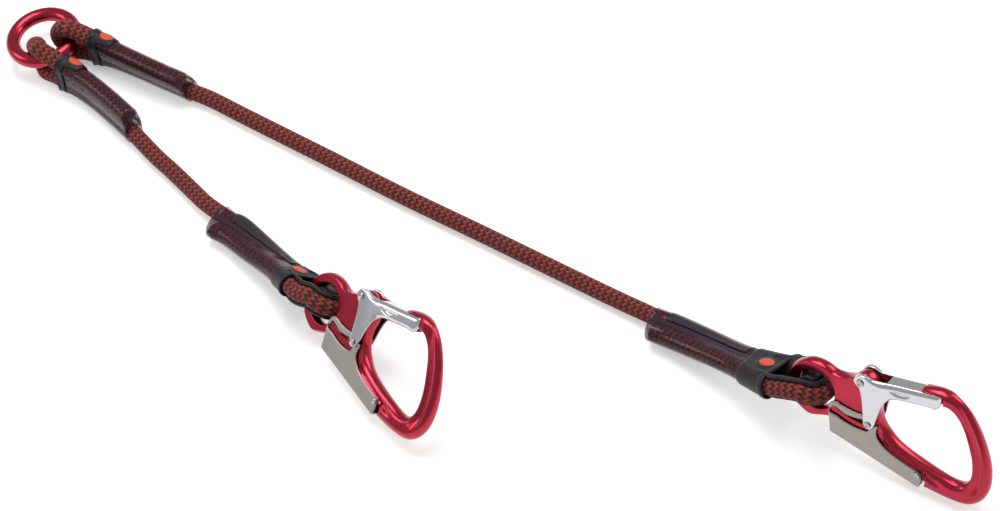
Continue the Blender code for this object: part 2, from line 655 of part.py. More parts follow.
def strands_section(strands, radius, apart, sides=8):
    """The outline round two strands that lie side by side, each given as (centre, direction)."""
    outline = []
    for (centre, way), start in zip(strands, (180, 0)):
        across = (apart - way * apart.dot(way)).normalized()
        side = way.cross(across)
        for k in range(sides + 1):
            angle = math.radians(start + 180 * k / sides)
            outline.append(centre + radius * (math.cos(angle) * side + math.sin(angle) * across))
    return outline


def wall(name, stations, bore, outer, parent, look):
    """A wall round two strands: each station is (strands, apart, how much the outside stands out)."""
    outside = [strands_section(s, outer + lip, apart) for s, apart, lip in stations]
    inside = [strands_section(s, bore, apart) for s, apart, lip in stations]
    node = loft(name, outside + inside[::-1], parent, ring=True)
    return smooth(finish(node, look), 50)


class EyeEnd:
    """One sewn eye: a rope strand runs in, turns round a ring or a hook's eye, and runs back as the tail."""

    def __init__(self, single, pairs, turn):
        mains = [Vector(main) * MM for main, tail in pairs]
        tails = [Vector(tail) * MM for main, tail in pairs]
        lead = [Vector(point) * MM for point in single]
        self.route = spline_points(lead + mains + turn + tails[::-1], 2, False)
        self.lead = 2 * len(lead)
        self.steps = 2 * (len(pairs) - 1)

    def strands(self, step):
        """Both strands, as (centre, direction toward the eye), where they run side by side."""
        main, tail = self.lead + step, len(self.route) - 1 - step
        near = (self.route[main], way_at(self.route, main))
        return near, (self.route[tail], -way_at(self.route, tail))

    def station(self, step, shift=0.0, lip=0.0):
        moved = tuple((centre + way * shift, way) for centre, way in self.strands(step))
        return moved, moved[1][0] - moved[0][0], lip

    def taper(self):
        """Stations from the tail's end, where the sleeve closes in on the one strand, to its collar."""
        (main, _), (tail, _) = self.strands(0)
        apart = tail - main
        stations = []
        for index in range(self.lead - 1, -1, -1):
            back = max(index - 1, 0) / (self.lead - 1)
            share = max(COLLAR_SPREAD, back**TAPER_POWER)
            centre, way = self.route[index], way_at(self.route, index)
            stations.append((((centre, way), (centre + apart * share, way)), apart, 0.0))
        centre, way = self.route[0], way_at(self.route, 0)
        steps = ((0.5, 0.0), (0.6, SLEEVE_LIP), (1.0, SLEEVE_LIP))
        for share, lip in steps:
            place = centre - way * (COLLAR_LENGTH * share)
            stations.append((((place, way), (place + apart * COLLAR_SPREAD, way)), apart, lip))
        return stations


def sewn_eye(name, parent, end, boot_step):
    """The rope of one eye, its clear sleeve, its rubber boot and its two rows of stitching."""
    tube(f"{name}_loop", end.route, ROPE_RADIUS, 2, parent, "rope")
    covered = [end.station(step) for step in range(boot_step, -1, -1)]
    sleeve = covered + end.taper()
    wall(f"{name}_sleeve", sleeve, SLEEVE_BORE, SLEEVE_RADIUS, parent, "sleeve")
    boot = [end.station(boot_step, TOUCH)]
    boot += [end.station(step) for step in range(boot_step + 1, end.steps + 1)]
    wall(f"{name}_boot", boot, SLEEVE_BORE, BOOT_RADIUS, parent, "rubber")
    for label, side in (("near", 1), ("far", -1)):
        row = []
        middle = [end.station(step)[0] for step in range(1, boot_step)]
        centres = even_route([(a[0] + b[0]) / 2 for a, b in middle], STITCH_PITCH / 2)
        for k, centre in enumerate(centres):
            near, far = min(middle, key=lambda s: ((s[0][0] + s[1][0]) / 2 - centre).length)
            apart = (far[0] - near[0]).normalized()
            out = near[1].cross(apart).normalized() * side
            swing = STITCH_SWING * (1 if k % 2 else -1)
            row.append(centre + out * STITCH_DEPTH + apart * swing)
        tube(f"{name}_stitching_{label}", row, THREAD_DIAMETER / 2, 0, parent, "thread")


def oval_dot(name, parent, seat, normal, along, bend):
    """A raised oval on a boot. It follows a round of the radius bend, and the seat is on that round."""
    across = normal.cross(along).normalized()
    length = across.cross(normal).normalized()
    edge = []
    for low in (0, DOT_THICKNESS):
        ring = []
        for k in range(16):
            angle = math.tau * k / 16
            turn = math.sin(angle) * DOT_WIDTH / 2 / bend
            high = math.cos(turn) * (bend + low) - bend
            reach = normal * high + across * (math.sin(turn) * (bend + low))
            ring.append(seat + reach + length * (math.cos(angle) * DOT_LENGTH / 2))
        edge.append(ring)
    return smooth(finish(loft(name, edge, parent), "dot"))


def flat_dot(name, parent, end, step):
    """The dot on the flat of a boot, between the two strands."""
    (main, way), (tail, _) = end.strands(step)
    normal = -way.cross(tail - main).normalized()
    seat = (main + tail) / 2 + normal * DOT_SEAT
    return oval_dot(name, parent, seat, normal, way, DOT_FLAT_BEND)


def round_dot(name, parent, end, step):
    """The dot on the round of a boot, over the tail strand."""
    (main, _), (tail, way) = end.strands(step)
    apart = tail - main
    apart = (apart - way * apart.dot(way)).normalized()
    lean = math.radians(DOT_LEAN)
    normal = apart * math.cos(lean) + way.cross(apart) * math.sin(lean)
    return oval_dot(name, parent, tail + normal * DOT_SEAT, normal, way, DOT_SEAT)


def thimble(name, parent, end, inner_step):
    """The rubber channel on the inner side of the loop."""
    last = len(end.route) - 1
    first = end.lead + inner_step
    (main, _), (tail, _) = end.strands(inner_step)
    back = ((main + tail) / 2 - end.route[last // 2 + end.lead // 2]).normalized()
    sections = []
    for index in range(first, last - inner_step + 1):
        centre, way = end.route[index], way_at(end.route, index)
        partner = end.route[last - (index - end.lead)]
        toward = (centre + partner) / 2 + back * THIMBLE_AIM - centre
        inward = (toward - way * toward.dot(way)).normalized()
        side = way.cross(inward)
        section = []
        for radius, order in ((SLEEVE_BORE, 1), (THIMBLE_RADIUS, -1)):
            for degrees in THIMBLE_ANGLES[::order]:
                angle = math.radians(degrees)
                reach = math.cos(angle) * inward + math.sin(angle) * side
                section.append(centre + radius * reach)
        sections.append(section)
    return smooth(finish(loft(name, sections, parent), "rubber"), 50)


def label_strip(name, parent, end, first_step, last_step, side):
    """The film label on the sleeve, round one strand's outer side and part of the flat."""
    sections = []
    for step in range(first_step, last_step + 1):
        (main, way), (tail, _) = end.strands(step)
        apart = (main - tail).normalized()
        apart = (apart - way * apart.dot(way)).normalized()
        out = way.cross(apart).normalized() * side
        section = []
        for radius, order in ((LABEL_SEAT, 1), (LABEL_SEAT + LABEL_THICKNESS, -1)):
            arc_part = []
            for degrees in LABEL_ANGLES:
                angle = math.radians(degrees)
                reach = math.cos(angle) * out + math.sin(angle) * apart
                arc_part.append(main + radius * reach)
            arc_part.append(main + radius * out - apart * LABEL_REACH)
            section += arc_part[::order]
        sections.append(section)
    return smooth(finish(loft(name, sections, parent), "sleeve"), 50)


def ring_turn(crossing, heading, reach):
    """The turn of a loop round the ring: under it, up inside it and back over it."""
    inward = -Vector((math.cos(math.radians(heading)), math.sin(math.radians(heading)), 0))
    centre = Vector((crossing[0] * MM, crossing[1] * MM, RING_HEIGHT))
    turn = []
    for degrees in range(-90, -271, -20):
        angle = math.radians(degrees)
        rise = Vector((0, 0, LOOP_RISE * math.sin(angle)))
        turn.append(centre - inward * reach * MM * math.cos(angle) + rise)
    return turn


def eye_turn(stand):
    """The turn of a loop through a hook's eye, from behind the hook to its front."""
    turn = []
    for x, y, z in EYE_TURN_FAR:
        turn.append(Vector((x, y, z)) * MM)
    for degrees in range(-90, 91, 20):
        angle = math.radians(degrees)
        along = EYE_TURN_MIDDLE + EYE_TURN * math.cos(angle)
        turn.append(Vector((along, EYE_TURN_RISE * math.cos(angle), EYE_TURN * math.sin(angle))))
    for x, y, z in EYE_TURN_FAR[::-1]:
        turn.append(Vector((x, y, -z)) * MM)
    place, spin = stand
    return [place + spin @ point for point in turn]


def leg(prefix, swivel, near_end, far_end, run):
    """The free run of rope between a leg's two sewn eyes."""
    start = near_end.route[0] - way_at(near_end.route, 0) * RUN_GAP
    end = far_end.route[0] - way_at(far_end.route, 0) * RUN_GAP
    middle = [Vector(point) * MM for point in run]
    route = even_route([start] + middle + [end], 2.4 * ROPE_DIAMETER)
    tube(f"{prefix}_rope_run", route, ROPE_RADIUS, 2, swivel, "rope")


def hook_stand(place, turns):
    """Where a hook's eye is, and how the hook is turned."""
    angles = [math.radians(angle) for angle in turns]
    return Vector(place) * MM, Euler(angles, "XYZ").to_matrix()


table = bpy.data.objects.new("table", None)
bpy.context.scene.collection.objects.link(table)
table.location = -TABLE_ORIGIN

ring_centre = Vector((0, 0, RING_HEIGHT))
section = [
    (RING_RADIUS + RING_TUBE_RADIUS * math.cos(a), RING_TUBE_RADIUS * math.sin(a))
    for a in [math.tau * k / 12 for k in range(13)]
]
ring = turned("harness_ring", section, (0, 0, 0), table, ring_centre, sides=40)
smooth(finish(ring, "red"), 60)

LEGS = {
    "long": (LONG_RING, LONG_HOOK, LONG_RUN, LONG_RING_TURN, LONG_STAND, 6),
    "short": (SHORT_RING, SHORT_HOOK, SHORT_RUN, SHORT_RING_TURN, SHORT_STAND, 5),
}
for prefix, (ring_side, hook_side, run, turn, place, boot_step) in LEGS.items():
    swivel = link(f"{prefix} leg", None, table)
    stand = hook_stand(*place)
    ring_end = EyeEnd(*ring_side, ring_turn(*turn))
    hook_end = EyeEnd(*hook_side, eye_turn(stand))
    leg(prefix, swivel, ring_end, hook_end, run)
    sewn_eye(f"{prefix}_ring_end", swivel, ring_end, RING_BOOT_STEP)
    sewn_eye(f"{prefix}_hook_end", swivel, hook_end, boot_step)
    thimble(f"{prefix}_hook_thimble", swivel, hook_end, hook_end.steps - 1)
    round_dot(f"{prefix}_ring_dot", swivel, ring_end, RING_BOOT_STEP + 1)
    flat_dot(f"{prefix}_hook_dot", swivel, hook_end, hook_end.steps - 1)
    label_strip(f"{prefix}_hook_label", swivel, hook_end, 1, boot_step - 1, 1)
    holder = link(f"{prefix} hook", None, swivel, stand[0])
    holder.rotation_euler = stand[1].to_euler()
    hook(prefix, holder)
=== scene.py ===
# %% [markdown]
# # A twin rope lanyard
# A climber or rigger ties the forged ring to a harness and clips one hook after the other to
# anchors above. Each leg is a 12 mm rope with a sewn eye at both ends. Every piece that shows is
# made again here with the detail that a close look shows, where the frame has it. Only the
# springs, which lie inside the hooks, keep the frame's own shape.

# %% Set up
import math
from functools import partial

import bmesh
import bpy
import numpy as np
from mathutils import Euler, Matrix, Vector


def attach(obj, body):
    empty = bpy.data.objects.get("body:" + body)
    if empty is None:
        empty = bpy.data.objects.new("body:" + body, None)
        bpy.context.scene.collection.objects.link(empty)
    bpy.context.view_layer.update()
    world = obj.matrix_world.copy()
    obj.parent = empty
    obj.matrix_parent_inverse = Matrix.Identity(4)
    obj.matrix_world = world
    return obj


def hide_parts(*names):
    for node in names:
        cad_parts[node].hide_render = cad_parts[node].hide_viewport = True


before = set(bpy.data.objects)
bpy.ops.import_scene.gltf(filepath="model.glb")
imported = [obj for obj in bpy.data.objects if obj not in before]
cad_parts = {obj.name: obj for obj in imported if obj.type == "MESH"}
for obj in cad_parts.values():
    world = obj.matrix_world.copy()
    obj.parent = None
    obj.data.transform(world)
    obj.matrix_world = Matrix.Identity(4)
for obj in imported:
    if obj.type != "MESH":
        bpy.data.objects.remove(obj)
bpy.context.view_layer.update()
MM = 0.001
print("nodes in the frame:", len(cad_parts))

# %% [markdown]
# ## Where things are
# The lanyard was measured from the middle of its ring. TABLE is how far the middle of the whole
# lanyard is from there, so `on_table` moves a measured point to the place where it lies here.

# %% Places on the table
TABLE = Vector((385.4, -58.2, 0.0))


def on_table(point):
    """A point measured in mm from the ring's centre, in metres on the table."""
    return (Vector(point) - TABLE) * MM


RING_HEIGHT = 18.15
RING_MIDDLE = on_table((0, 0, RING_HEIGHT))
print("ring middle", RING_MIDDLE)

# %% [markdown]
# ## The camera
# It stands above the short leg, and looks along the table to the far end of the long one. The
# lens is long, so the lines of the two legs hardly run together. A camera is aimed by its
# rotation matrix, whose columns are its right, its up and its back. Like anything in Blender, it
# shows only once an object in the scene holds it.

# %% Camera


def in_scene(name, data):
    """A new object in the scene that shows the data."""
    made = bpy.data.objects.new(name, data)
    bpy.context.scene.collection.objects.link(made)
    return made


camera = in_scene("camera", bpy.data.cameras.new("camera"))
camera_turn = Matrix((
    (0.7921223, -0.3897560, 0.4697154),
    (0.5906461, 0.6835014, -0.4289091),
    (-0.1538812, 0.6171840, 0.7716246),
))
camera.matrix_world = Matrix.Translation((1.06447, -0.87905, 1.71301)) @ camera_turn.to_4x4()
camera.data.sensor_width = 36.0
camera.data.lens = 117.48
bpy.context.scene.camera = camera
print("camera to ring", (camera.location - RING_MIDDLE).length)

# %% [markdown]
# ## The table
# A white table gives metal something pale to mirror. It glows a little where the camera, a mirror
# or glass looks at it, and takes the shadows all the same. A material is a tree of nodes, and two
# helpers make one and add a step of arithmetic to it. The table's shape starts as a bmesh, as
# every shape here does, and becomes a mesh when it is done.

# %% Material helpers


def new_material(name):
    """A fresh material, with its node tree and its main shader."""
    material = bpy.data.materials.new(name)
    material.use_nodes = True
    tree = material.node_tree
    return material, tree, tree.nodes["Principled BSDF"]


def math_node(tree, operation, first, second=None):
    """One step of arithmetic in a material; each input is a socket or a number."""
    node = tree.nodes.new("ShaderNodeMath")
    node.operation = operation
    for socket, value in zip(node.inputs, (first, second)):
        if value is None:
            continue
        if isinstance(value, (int, float)):
            socket.default_value = value
        else:
            tree.links.new(value, socket)
    return node.outputs[0]


# %% Table
TABLE_SIZE, TABLE_DROP, TABLE_GLOW = 30.0, 0.0009, 0.36


def as_mesh(name, work):
    """A bmesh as a mesh; the bmesh itself is used up."""
    mesh = bpy.data.meshes.new(name)
    work.to_mesh(mesh)
    work.free()
    return mesh


ground = bmesh.new()
bmesh.ops.create_grid(ground, x_segments=1, y_segments=1, size=TABLE_SIZE / 2)
table_top = in_scene("table_top", as_mesh("table_top", ground))
table_top.location.z = -TABLE_DROP

white, tree, shader = new_material("white_table")
shader.inputs["Base Color"].default_value = (0.86, 0.86, 0.86, 1)
shader.inputs["Roughness"].default_value = 0.9
shader.inputs["Specular IOR Level"].default_value = 0.1
glow = tree.nodes.new("ShaderNodeEmission")
glow.inputs["Color"].default_value = (1, 1, 1, 1)
seen = tree.nodes.new("ShaderNodeLightPath").outputs
looked_at = math_node(tree, "MAXIMUM", seen["Is Camera Ray"], seen["Is Glossy Ray"])
any_ray = math_node(tree, "MAXIMUM", looked_at, seen["Is Transmission Ray"])
tree.links.new(math_node(tree, "MULTIPLY", any_ray, TABLE_GLOW), glow.inputs["Strength"])
both = tree.nodes.new("ShaderNodeAddShader")
tree.links.new(shader.outputs[0], both.inputs[0])
tree.links.new(glow.outputs[0], both.inputs[1])
tree.links.new(both.outputs[0], tree.nodes["Material Output"].inputs["Surface"])
table_top.data.materials.append(white)
print("table", TABLE_SIZE, "m wide")

# %% [markdown]
# ## Lamps and room
# An even white room fills the shadows, and its strength stays low so that the rope's colours
# aren't washed out. Three large soft lamps give the long highlights that make a round bar look
# round. The camera sees the room paler than it shines, so the background is pale from any side.

# %% Lamps and room
ROOM_LIGHT, ROOM_SEEN = 0.50, 0.86
world = bpy.data.worlds.new("white_room")
bpy.context.scene.world = world
world.use_nodes = True
world.node_tree.nodes["Background"].inputs["Color"].default_value = (1, 1, 1, 1)
tree = world.node_tree
camera_ray = tree.nodes.new("ShaderNodeLightPath").outputs["Is Camera Ray"]
paler = math_node(tree, "MULTIPLY", camera_ray, ROOM_SEEN - ROOM_LIGHT)
room_strength = math_node(tree, "ADD", paler, ROOM_LIGHT)
tree.links.new(room_strength, tree.nodes["Background"].inputs["Strength"])


def soft_lamp(name, place, target, size, power):
    """A square lamp that faces a point."""
    lamp = bpy.data.lights.new(name, "AREA")
    lamp.shape = "SQUARE"
    lamp.size = size
    lamp.energy = power
    made = in_scene(name, lamp)
    made.location = place
    made.rotation_euler = (Vector(target) - Vector(place)).to_track_quat("-Z", "Y").to_euler()
    return made


soft_lamp("lamp_over", (-0.25, 0.35, 1.3), (0, 0, 0), 0.8, 12)
soft_lamp("lamp_left", (-1.3, -0.7, 0.9), (0, 0, 0), 0.7, 5)
soft_lamp("lamp_back", (0.7, 1.3, 0.8), (0.1, 0, 0), 0.7, 6)
bpy.context.scene.view_settings.view_transform = "Standard"

# %% [markdown]
# ## Smooth routes
# Rope doesn't turn in corners. A rope's line is given by a few points, and a Catmull-Rom curve
# goes through all of them. The helper reads it at any number t: 0 is the first point, 1 the
# second, and 1.5 halfway from the second to the third.

# %% Route helpers


def read_route(points, t, closed=False):
    """Points on the smooth curve at the numbers t, one row for each."""
    given = np.array([tuple(p) for p in points], float)
    count = len(given)
    t = np.atleast_1d(np.asarray(t, float))
    if closed:
        span = np.floor(t).astype(int)
        corners = [given[(span + k) % count] for k in (-1, 0, 1, 2)]
    else:
        given = np.vstack([2 * given[0] - given[1], given, 2 * given[-1] - given[-2]])
        span = np.clip(np.floor(t).astype(int), 0, count - 2)
        corners = [given[span + k] for k in range(4)]
    s = (t - span)[:, None]
    before, start, end, after = corners
    bend = (2 * before - 5 * start + 4 * end - after) * s**2
    twist = (3 * start - before - 3 * end + after) * s**3
    return (2 * start + (end - before) * s + bend + twist) / 2


def unit(rows):
    """Each row at length one."""
    return rows / np.linalg.norm(rows, axis=-1, keepdims=True)


def ease(share):
    """A soft step from 0 to 1."""
    share = np.clip(share, 0, 1)
    return share * share * (3 - 2 * share)


def even_route(points, spacing):
    """The smooth curve through the points, read at an even spacing."""
    fine = read_route(points, np.linspace(0, len(points) - 1, 40 * len(points)))
    run = np.concatenate([[0], np.cumsum(np.linalg.norm(np.diff(fine, axis=0), axis=1))])
    along = np.linspace(0, run[-1], max(3, round(run[-1] / spacing) + 1))
    return np.stack([np.interp(along, run, fine[:, axis]) for axis in range(3)], 1), run[-1]


def turned(angle, first, second):
    """Directions at an angle each, counted from the first toward the second."""
    return np.cos(angle)[:, None] * first + np.sin(angle)[:, None] * second


def upright(route):
    """The way along a route and two directions across it that don't twist about it."""
    way = unit(np.gradient(route, axis=0))
    side = np.zeros_like(way)
    side[0] = unit(np.cross(way[0], (0.3, 0.5, 0.9)))
    for row in range(1, len(way)):
        kept = side[row - 1] - way[row] * np.dot(side[row - 1], way[row])
        side[row] = unit(kept)
    return way, side, np.cross(way, side)


# %% [markdown]
# ## A rolled sheet
# A rope, a sleeve and a rubber boot are all one flat grid rolled into a tube. `create_grid` makes
# the sheet with its UV map, a rule moves each corner to its place, and `remove_doubles` welds the
# seam. The UV map stays where the sheet was open, so a pattern meets itself there.

# %% Rolling and showing
SEAM_WELD = 2e-6


def show(name, work, body, finish, stands_for):
    """Puts a finished bmesh in the scene as a smooth piece that moves with a body of the frame.

    It stands for a node of the frame, which it hides, and takes the finish that it is given."""
    mesh = as_mesh(name, work)
    mesh.shade_smooth()
    mesh.materials.append(finish)
    made = in_scene(name, mesh)
    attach(made, body)
    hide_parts(stands_for)
    return made


def move_to(work, spots):
    """Moves the corners of a bmesh to new places."""
    for vert, spot in zip(work.verts, spots):
        vert.co = spot


def rolled(rows, around, place, length=1.0, capped=True):
    """A grid of rows x around cells, rolled up by the rule place(u, w) that gives its points.

    The ends of a rope are capped. A sleeve's wall is a grid whose two ends meet instead."""
    sheet = bmesh.new()
    sheet.loops.layers.uv.new("UVMap")
    bmesh.ops.create_grid(sheet, x_segments=around, y_segments=rows, size=1.0, calc_uvs=True)
    flat = np.array([v.co[:2] for v in sheet.verts])
    move_to(sheet, place((flat[:, 0] + 1) / 2, (flat[:, 1] + 1) / 2))
    uv = sheet.loops.layers.uv.active
    for face in sheet.faces:
        for corner in face.loops:
            corner[uv].uv.y *= length
    bmesh.ops.remove_doubles(sheet, verts=sheet.verts, dist=SEAM_WELD)
    if capped:
        open_edges = [edge for edge in sheet.edges if edge.is_boundary]
        bmesh.ops.holes_fill(sheet, edges=open_edges)
    bmesh.ops.recalc_face_normals(sheet, faces=sheet.faces)
    return sheet


def round_strip(u):
    """Whether a share of the turn is on a strip's outer side, and how far across it lies."""
    u = u % 1.0
    outer = u < 0.5
    return outer, np.where(outer, u * 2, 2 - u * 2)


# %% [markdown]
# ## Braided rope
# The sheath of the rope is braided: 20 yarns go round it one way and 20 the other, each over two
# and under two. Where a yarn is on top it stands out and shows as one slanted stroke. Every other
# yarn is orange, so the strokes join to orange and black-brown zigzags round the rope. The relief
# is real geometry, and the colour comes from the same rule through the UV map, so they agree.

# %% The braid as a shape
ROPE_RADIUS = 6.0 * MM
YARNS = 20
BAND = 4.85
RELIEF = 0.32 * MM
SPREAD, SPREAD_REACH = 0.16, 16 * MM


def braid_lift(turn, run):
    """How far a yarn stands out, 0 to 1, at a share of a turn and mm along the rope."""
    a = YARNS * turn + 2 * run / BAND
    b = YARNS * turn - 2 * run / BAND
    i, j = np.floor(a), np.floor(b)
    state = np.mod(i + j, 4)
    over_a = state < 2
    across = np.where(over_a, a - i, b - j)
    passed = np.where(over_a, (state + b - j) / 2, (state - 2 + a - i) / 2)
    crown = np.sqrt(np.clip(1 - (2 * across - 1) ** 2, 0, 1))
    return crown * (0.5 + 0.5 * np.sin(np.pi * np.clip(passed, 0, 1)))


def rope_mesh(points, spacing=0.55 * MM, around=72, bend=None):
    """A braided rope along a route, and the route's length.

    A bend is a place and a direction: near the place the rope is pressed wider that way."""
    route, length = even_route(points, spacing)
    way, side, up = upright(route)
    rows = len(route) - 1
    if bend:
        middle, aside = (np.array(part) for part in bend)
        away = np.linalg.norm(route - middle, axis=1)
        spread = SPREAD * (1 - ease((away - SPREAD_REACH) / SPREAD_REACH))

    def place(u, w):
        row = np.clip(np.rint(w * rows).astype(int), 0, rows)
        run = row / rows * length / MM
        out = turned(math.tau * u, side[row], up[row])
        radius = ROPE_RADIUS - RELIEF * (1 - braid_lift(u % 1, run))
        reach = radius[:, None] * out
        if bend:
            reach += np.outer(reach @ aside * spread[row], aside)
        return route[row] + reach

    return rolled(rows, around, place, length / MM), route, length


# %% [markdown]
# ## Colour, noise and fine relief
# No real surface has one flat colour. A noise texture is read on the piece's own coordinates, so
# it stays on the piece as it moves, and it mixes two close tones or gives a fine relief.

# %% Finish helpers


def mix_colour(tree, share, first, second):
    """A mix of two colours; each input is a socket or a value."""
    node = tree.nodes.new("ShaderNodeMix")
    node.data_type = "RGBA"
    for key, value in (("Factor", share), ("A", first), ("B", second)):
        socket = [s for s in node.inputs if s.name == key and s.enabled][0]
        if isinstance(value, (tuple, float, int)):
            socket.default_value = value
        else:
            tree.links.new(value, socket)
    return [s for s in node.outputs if s.enabled][0]


def noise(tree, scale, detail=4.0):
    """A noise texture on the piece's own coordinates."""
    node = tree.nodes.new("ShaderNodeTexNoise")
    node.inputs["Scale"].default_value = scale
    node.inputs["Detail"].default_value = detail
    coords = tree.nodes.new("ShaderNodeTexCoord").outputs["Object"]
    tree.links.new(coords, node.inputs["Vector"])
    return node.outputs["Fac"]


def bump(tree, shader, height, strength, distance):
    """Fine relief from a height."""
    node = tree.nodes.new("ShaderNodeBump")
    node.inputs["Strength"].default_value = strength
    node.inputs["Distance"].default_value = distance
    tree.links.new(height, node.inputs["Height"])
    tree.links.new(node.outputs[0], shader.inputs["Normal"])


def surface(name, low, high, drift, settings, relief=None):
    """A finish whose colour drifts between two close tones, often with a fine relief.

    Drift is a noise's scale and detail. Settings are the shader's inputs by name. Relief is a
    noise's scale and detail, with a strength and a distance in metres."""
    material, tree, shader = new_material(name)
    colour = mix_colour(tree, noise(tree, *drift), (*low, 1), (*high, 1))
    tree.links.new(colour, shader.inputs["Base Color"])
    for key, value in settings.items():
        shader.inputs[key].default_value = value
    if relief:
        scale, detail, strength, distance = relief
        bump(tree, shader, noise(tree, scale, detail), strength, distance)
    return material


# %% [markdown]
# ## The braid's colour
# The material repeats the rule of the relief in nodes: which yarn is on top, and how far across
# it a point lies. Yarns that run one way are painted a little brighter than the others, as painted
# light for the other angle at which light falls on them, and every yarn is painted darker at its
# edges, as painted shade in the grooves between the yarns.

# %% The braid as a colour
# ORANGE and BRICK are the lit and the shaded tone of the orange yarn, OLIVE and BROWN of the dark yarn:
# painted light and shade for the two ways that the yarns run.
ORANGE = (0.44, 0.044, 0.024, 1)
BRICK = (0.32, 0.024, 0.024, 1)
BROWN = (0.020, 0.012, 0.010, 1)
OLIVE = (0.036, 0.021, 0.013, 1)
# The last colour is painted shade for the grooves between the yarns.
GROOVE_SHADE = (0.012, 0.007, 0.006, 1)


def braided_rope():
    """Zigzag bands of orange and black-brown yarn, painted darker in the grooves as painted shade."""
    material, tree, shader = new_material("braided_rope")
    step = partial(math_node, tree)
    coords = tree.nodes.new("ShaderNodeTexCoord")
    split = tree.nodes.new("ShaderNodeSeparateXYZ")
    tree.links.new(coords.outputs["UV"], split.inputs[0])
    turn = step("MULTIPLY", split.outputs["X"], float(YARNS))
    run = step("MULTIPLY", split.outputs["Y"], 2.0 / BAND)
    a = step("ADD", turn, run)
    b = step("SUBTRACT", turn, run)
    i = step("FLOOR", a)
    j = step("FLOOR", b)
    together = step("ADD", i, j)
    state = step("FLOORED_MODULO", together, 4.0)
    over_a = step("LESS_THAN", state, 1.5)
    odd_a = step("FLOORED_MODULO", i, 2.0)
    even_b = step("FLOORED_MODULO", step("ADD", j, 1.0), 2.0)
    swap = step("MULTIPLY", step("SUBTRACT", odd_a, even_b), over_a)
    dark = step("GREATER_THAN", step("ADD", swap, even_b), 0.5)
    across_a = step("SUBTRACT", a, i)
    across_b = step("SUBTRACT", b, j)
    picked = step("MULTIPLY", step("SUBTRACT", across_a, across_b), over_a)
    across = step("ADD", picked, across_b)
    centred = step("SUBTRACT", step("MULTIPLY", across, 2.0), 1.0)
    groove = step("POWER", step("ABSOLUTE", centred), 3.0)
    # Yarns that run one way take the lit tone and the others the shaded tone: painted light and shade.
    warm = mix_colour(tree, over_a, BRICK, ORANGE)
    cool = mix_colour(tree, over_a, BROWN, OLIVE)
    colour = mix_colour(tree, dark, warm, cool)
    spotty = noise(tree, 900.0, 3.0)
    lifted = mix_colour(tree, step("MULTIPLY", spotty, 0.35), colour, BROWN)
    # Each yarn is painted darker towards its edges: painted shade in the grooves.
    shade = step("MULTIPLY", groove, 0.75)
    tree.links.new(mix_colour(tree, shade, lifted, GROOVE_SHADE), shader.inputs["Base Color"])
    shader.inputs["Roughness"].default_value = 0.82
    shader.inputs["Sheen Weight"].default_value = 0.08
    shader.inputs["Sheen Roughness"].default_value = 0.5
    shader.inputs["Specular IOR Level"].default_value = 0.3
    fibres = noise(tree, 2600.0, 2.0)
    bump(tree, shader, fibres, 0.35, 0.00015)
    return material


ROPE = braided_rope()
print("rope finish made")

# %% [markdown]
# ## Where the ropes lie
# Each leg has an eye round the ring and one through its hook. An eye is given by the points of the
# single strand that runs in, and by pairs of points, main strand and tail, from there to the turn.
# The turn itself is an arc. `stand` is the hook's place and turn, and `run` is the rope between
# the eyes. All of them are in mm from the ring's middle, as measured.

# %% Leg data
LEGS = {
    "long": {
        "ring": (
            [(123.0, 19.6, 7.5), (113.5, 19.3, 7.4)],
            [((104, 18.9, 7.3), (104, 16.0, 20.0)), ((82, 18.0, 7.4), (82, 15.5, 20.1)),
             ((65, 16.9, 7.6), (65, 15.1, 20.3)), ((50, 15.2, 8.0), (50, 14.4, 21.7)),
             ((32, 12.0, 7.9), (32, 12.2, 26.8))],
        ),
        "hook": (
            [(537.0, 20.9, 7.7), (541.0, 21.3, 7.8)],
            [((551.9, 22.15, 8.2), (552.1, 9.45, 10.4)), ((574.7, 20.75, 11.95), (575.1, 8.25, 15.05)),
             ((592.4, 18.65, 16.1), (592.8, 6.35, 19.9)), ((610.6, 16.4, 21.45), (611.0, 3.4, 25.55)),
             ((627.7, 16.45, 26.5), (628.3, -1.25, 32.1)), ((644.6, 17.4, 31.8), (645.4, -5.8, 39.2))],
        ),
        "run": [(142, 21.9, 6.3), (178, 21.5, 6.1), (250, 20.9, 6.1), (320, 19.9, 6.1),
                (387, 20.5, 6.1), (452, 20.6, 6.1), (500, 20.7, 6.3)],
        "ring_turn": ((21.1, 9.4), 9.0, 12.6),
        "stand": ((673.3, 9.0, 40.6), (72.09, 11.0, -1.43)),
        "boot_at": 3.0,
    },
    "short": {
        "ring": (
            [(111.0, -31.2, 7.5), (101.0, -28.8, 7.4)],
            [((92, -26.6, 7.3), (92, -24.0, 20.0)), ((75, -22.8, 7.4), (75, -20.4, 20.1)),
             ((60, -20.3, 7.6), (60, -17.8, 20.3)), ((45, -18.6, 8.0), (45, -16.7, 22.2)),
             ((27.5, -17.6, 8.0), (27.5, -17.0, 27.3))],
        ),
        "hook": (
            [(223.0, -58.5, 7.6), (228.0, -59.2, 7.6)],
            [((239.5, -59.3, 7.75), (236.5, -71.7, 9.05)), ((263.6, -65.2, 8.5), (260.4, -76.8, 12.7)),
             ((285.6, -71.2, 10.5), (282.4, -81.6, 17.5)), ((303.0, -75.4, 12.4), (299.0, -87.0, 22.8)),
             ((321.5, -77.2, 13.3), (315.7, -93.6, 29.9))],
        ),
        "run": [(140, -39.5, 6.4), (156, -43.2, 6.1), (172, -47.3, 6.1), (187, -51.4, 6.2),
                (202, -55.4, 6.9)],
        "ring_turn": ((15.8, -17.3), -25.0, 14.6),
        "stand": ((346.2, -90.8, 26.0), (46.24, 2.5, -21.97)),
        "boot_at": 2.5,
    },
}
RING_BOOT_AT = 2.5
print("legs", list(LEGS))

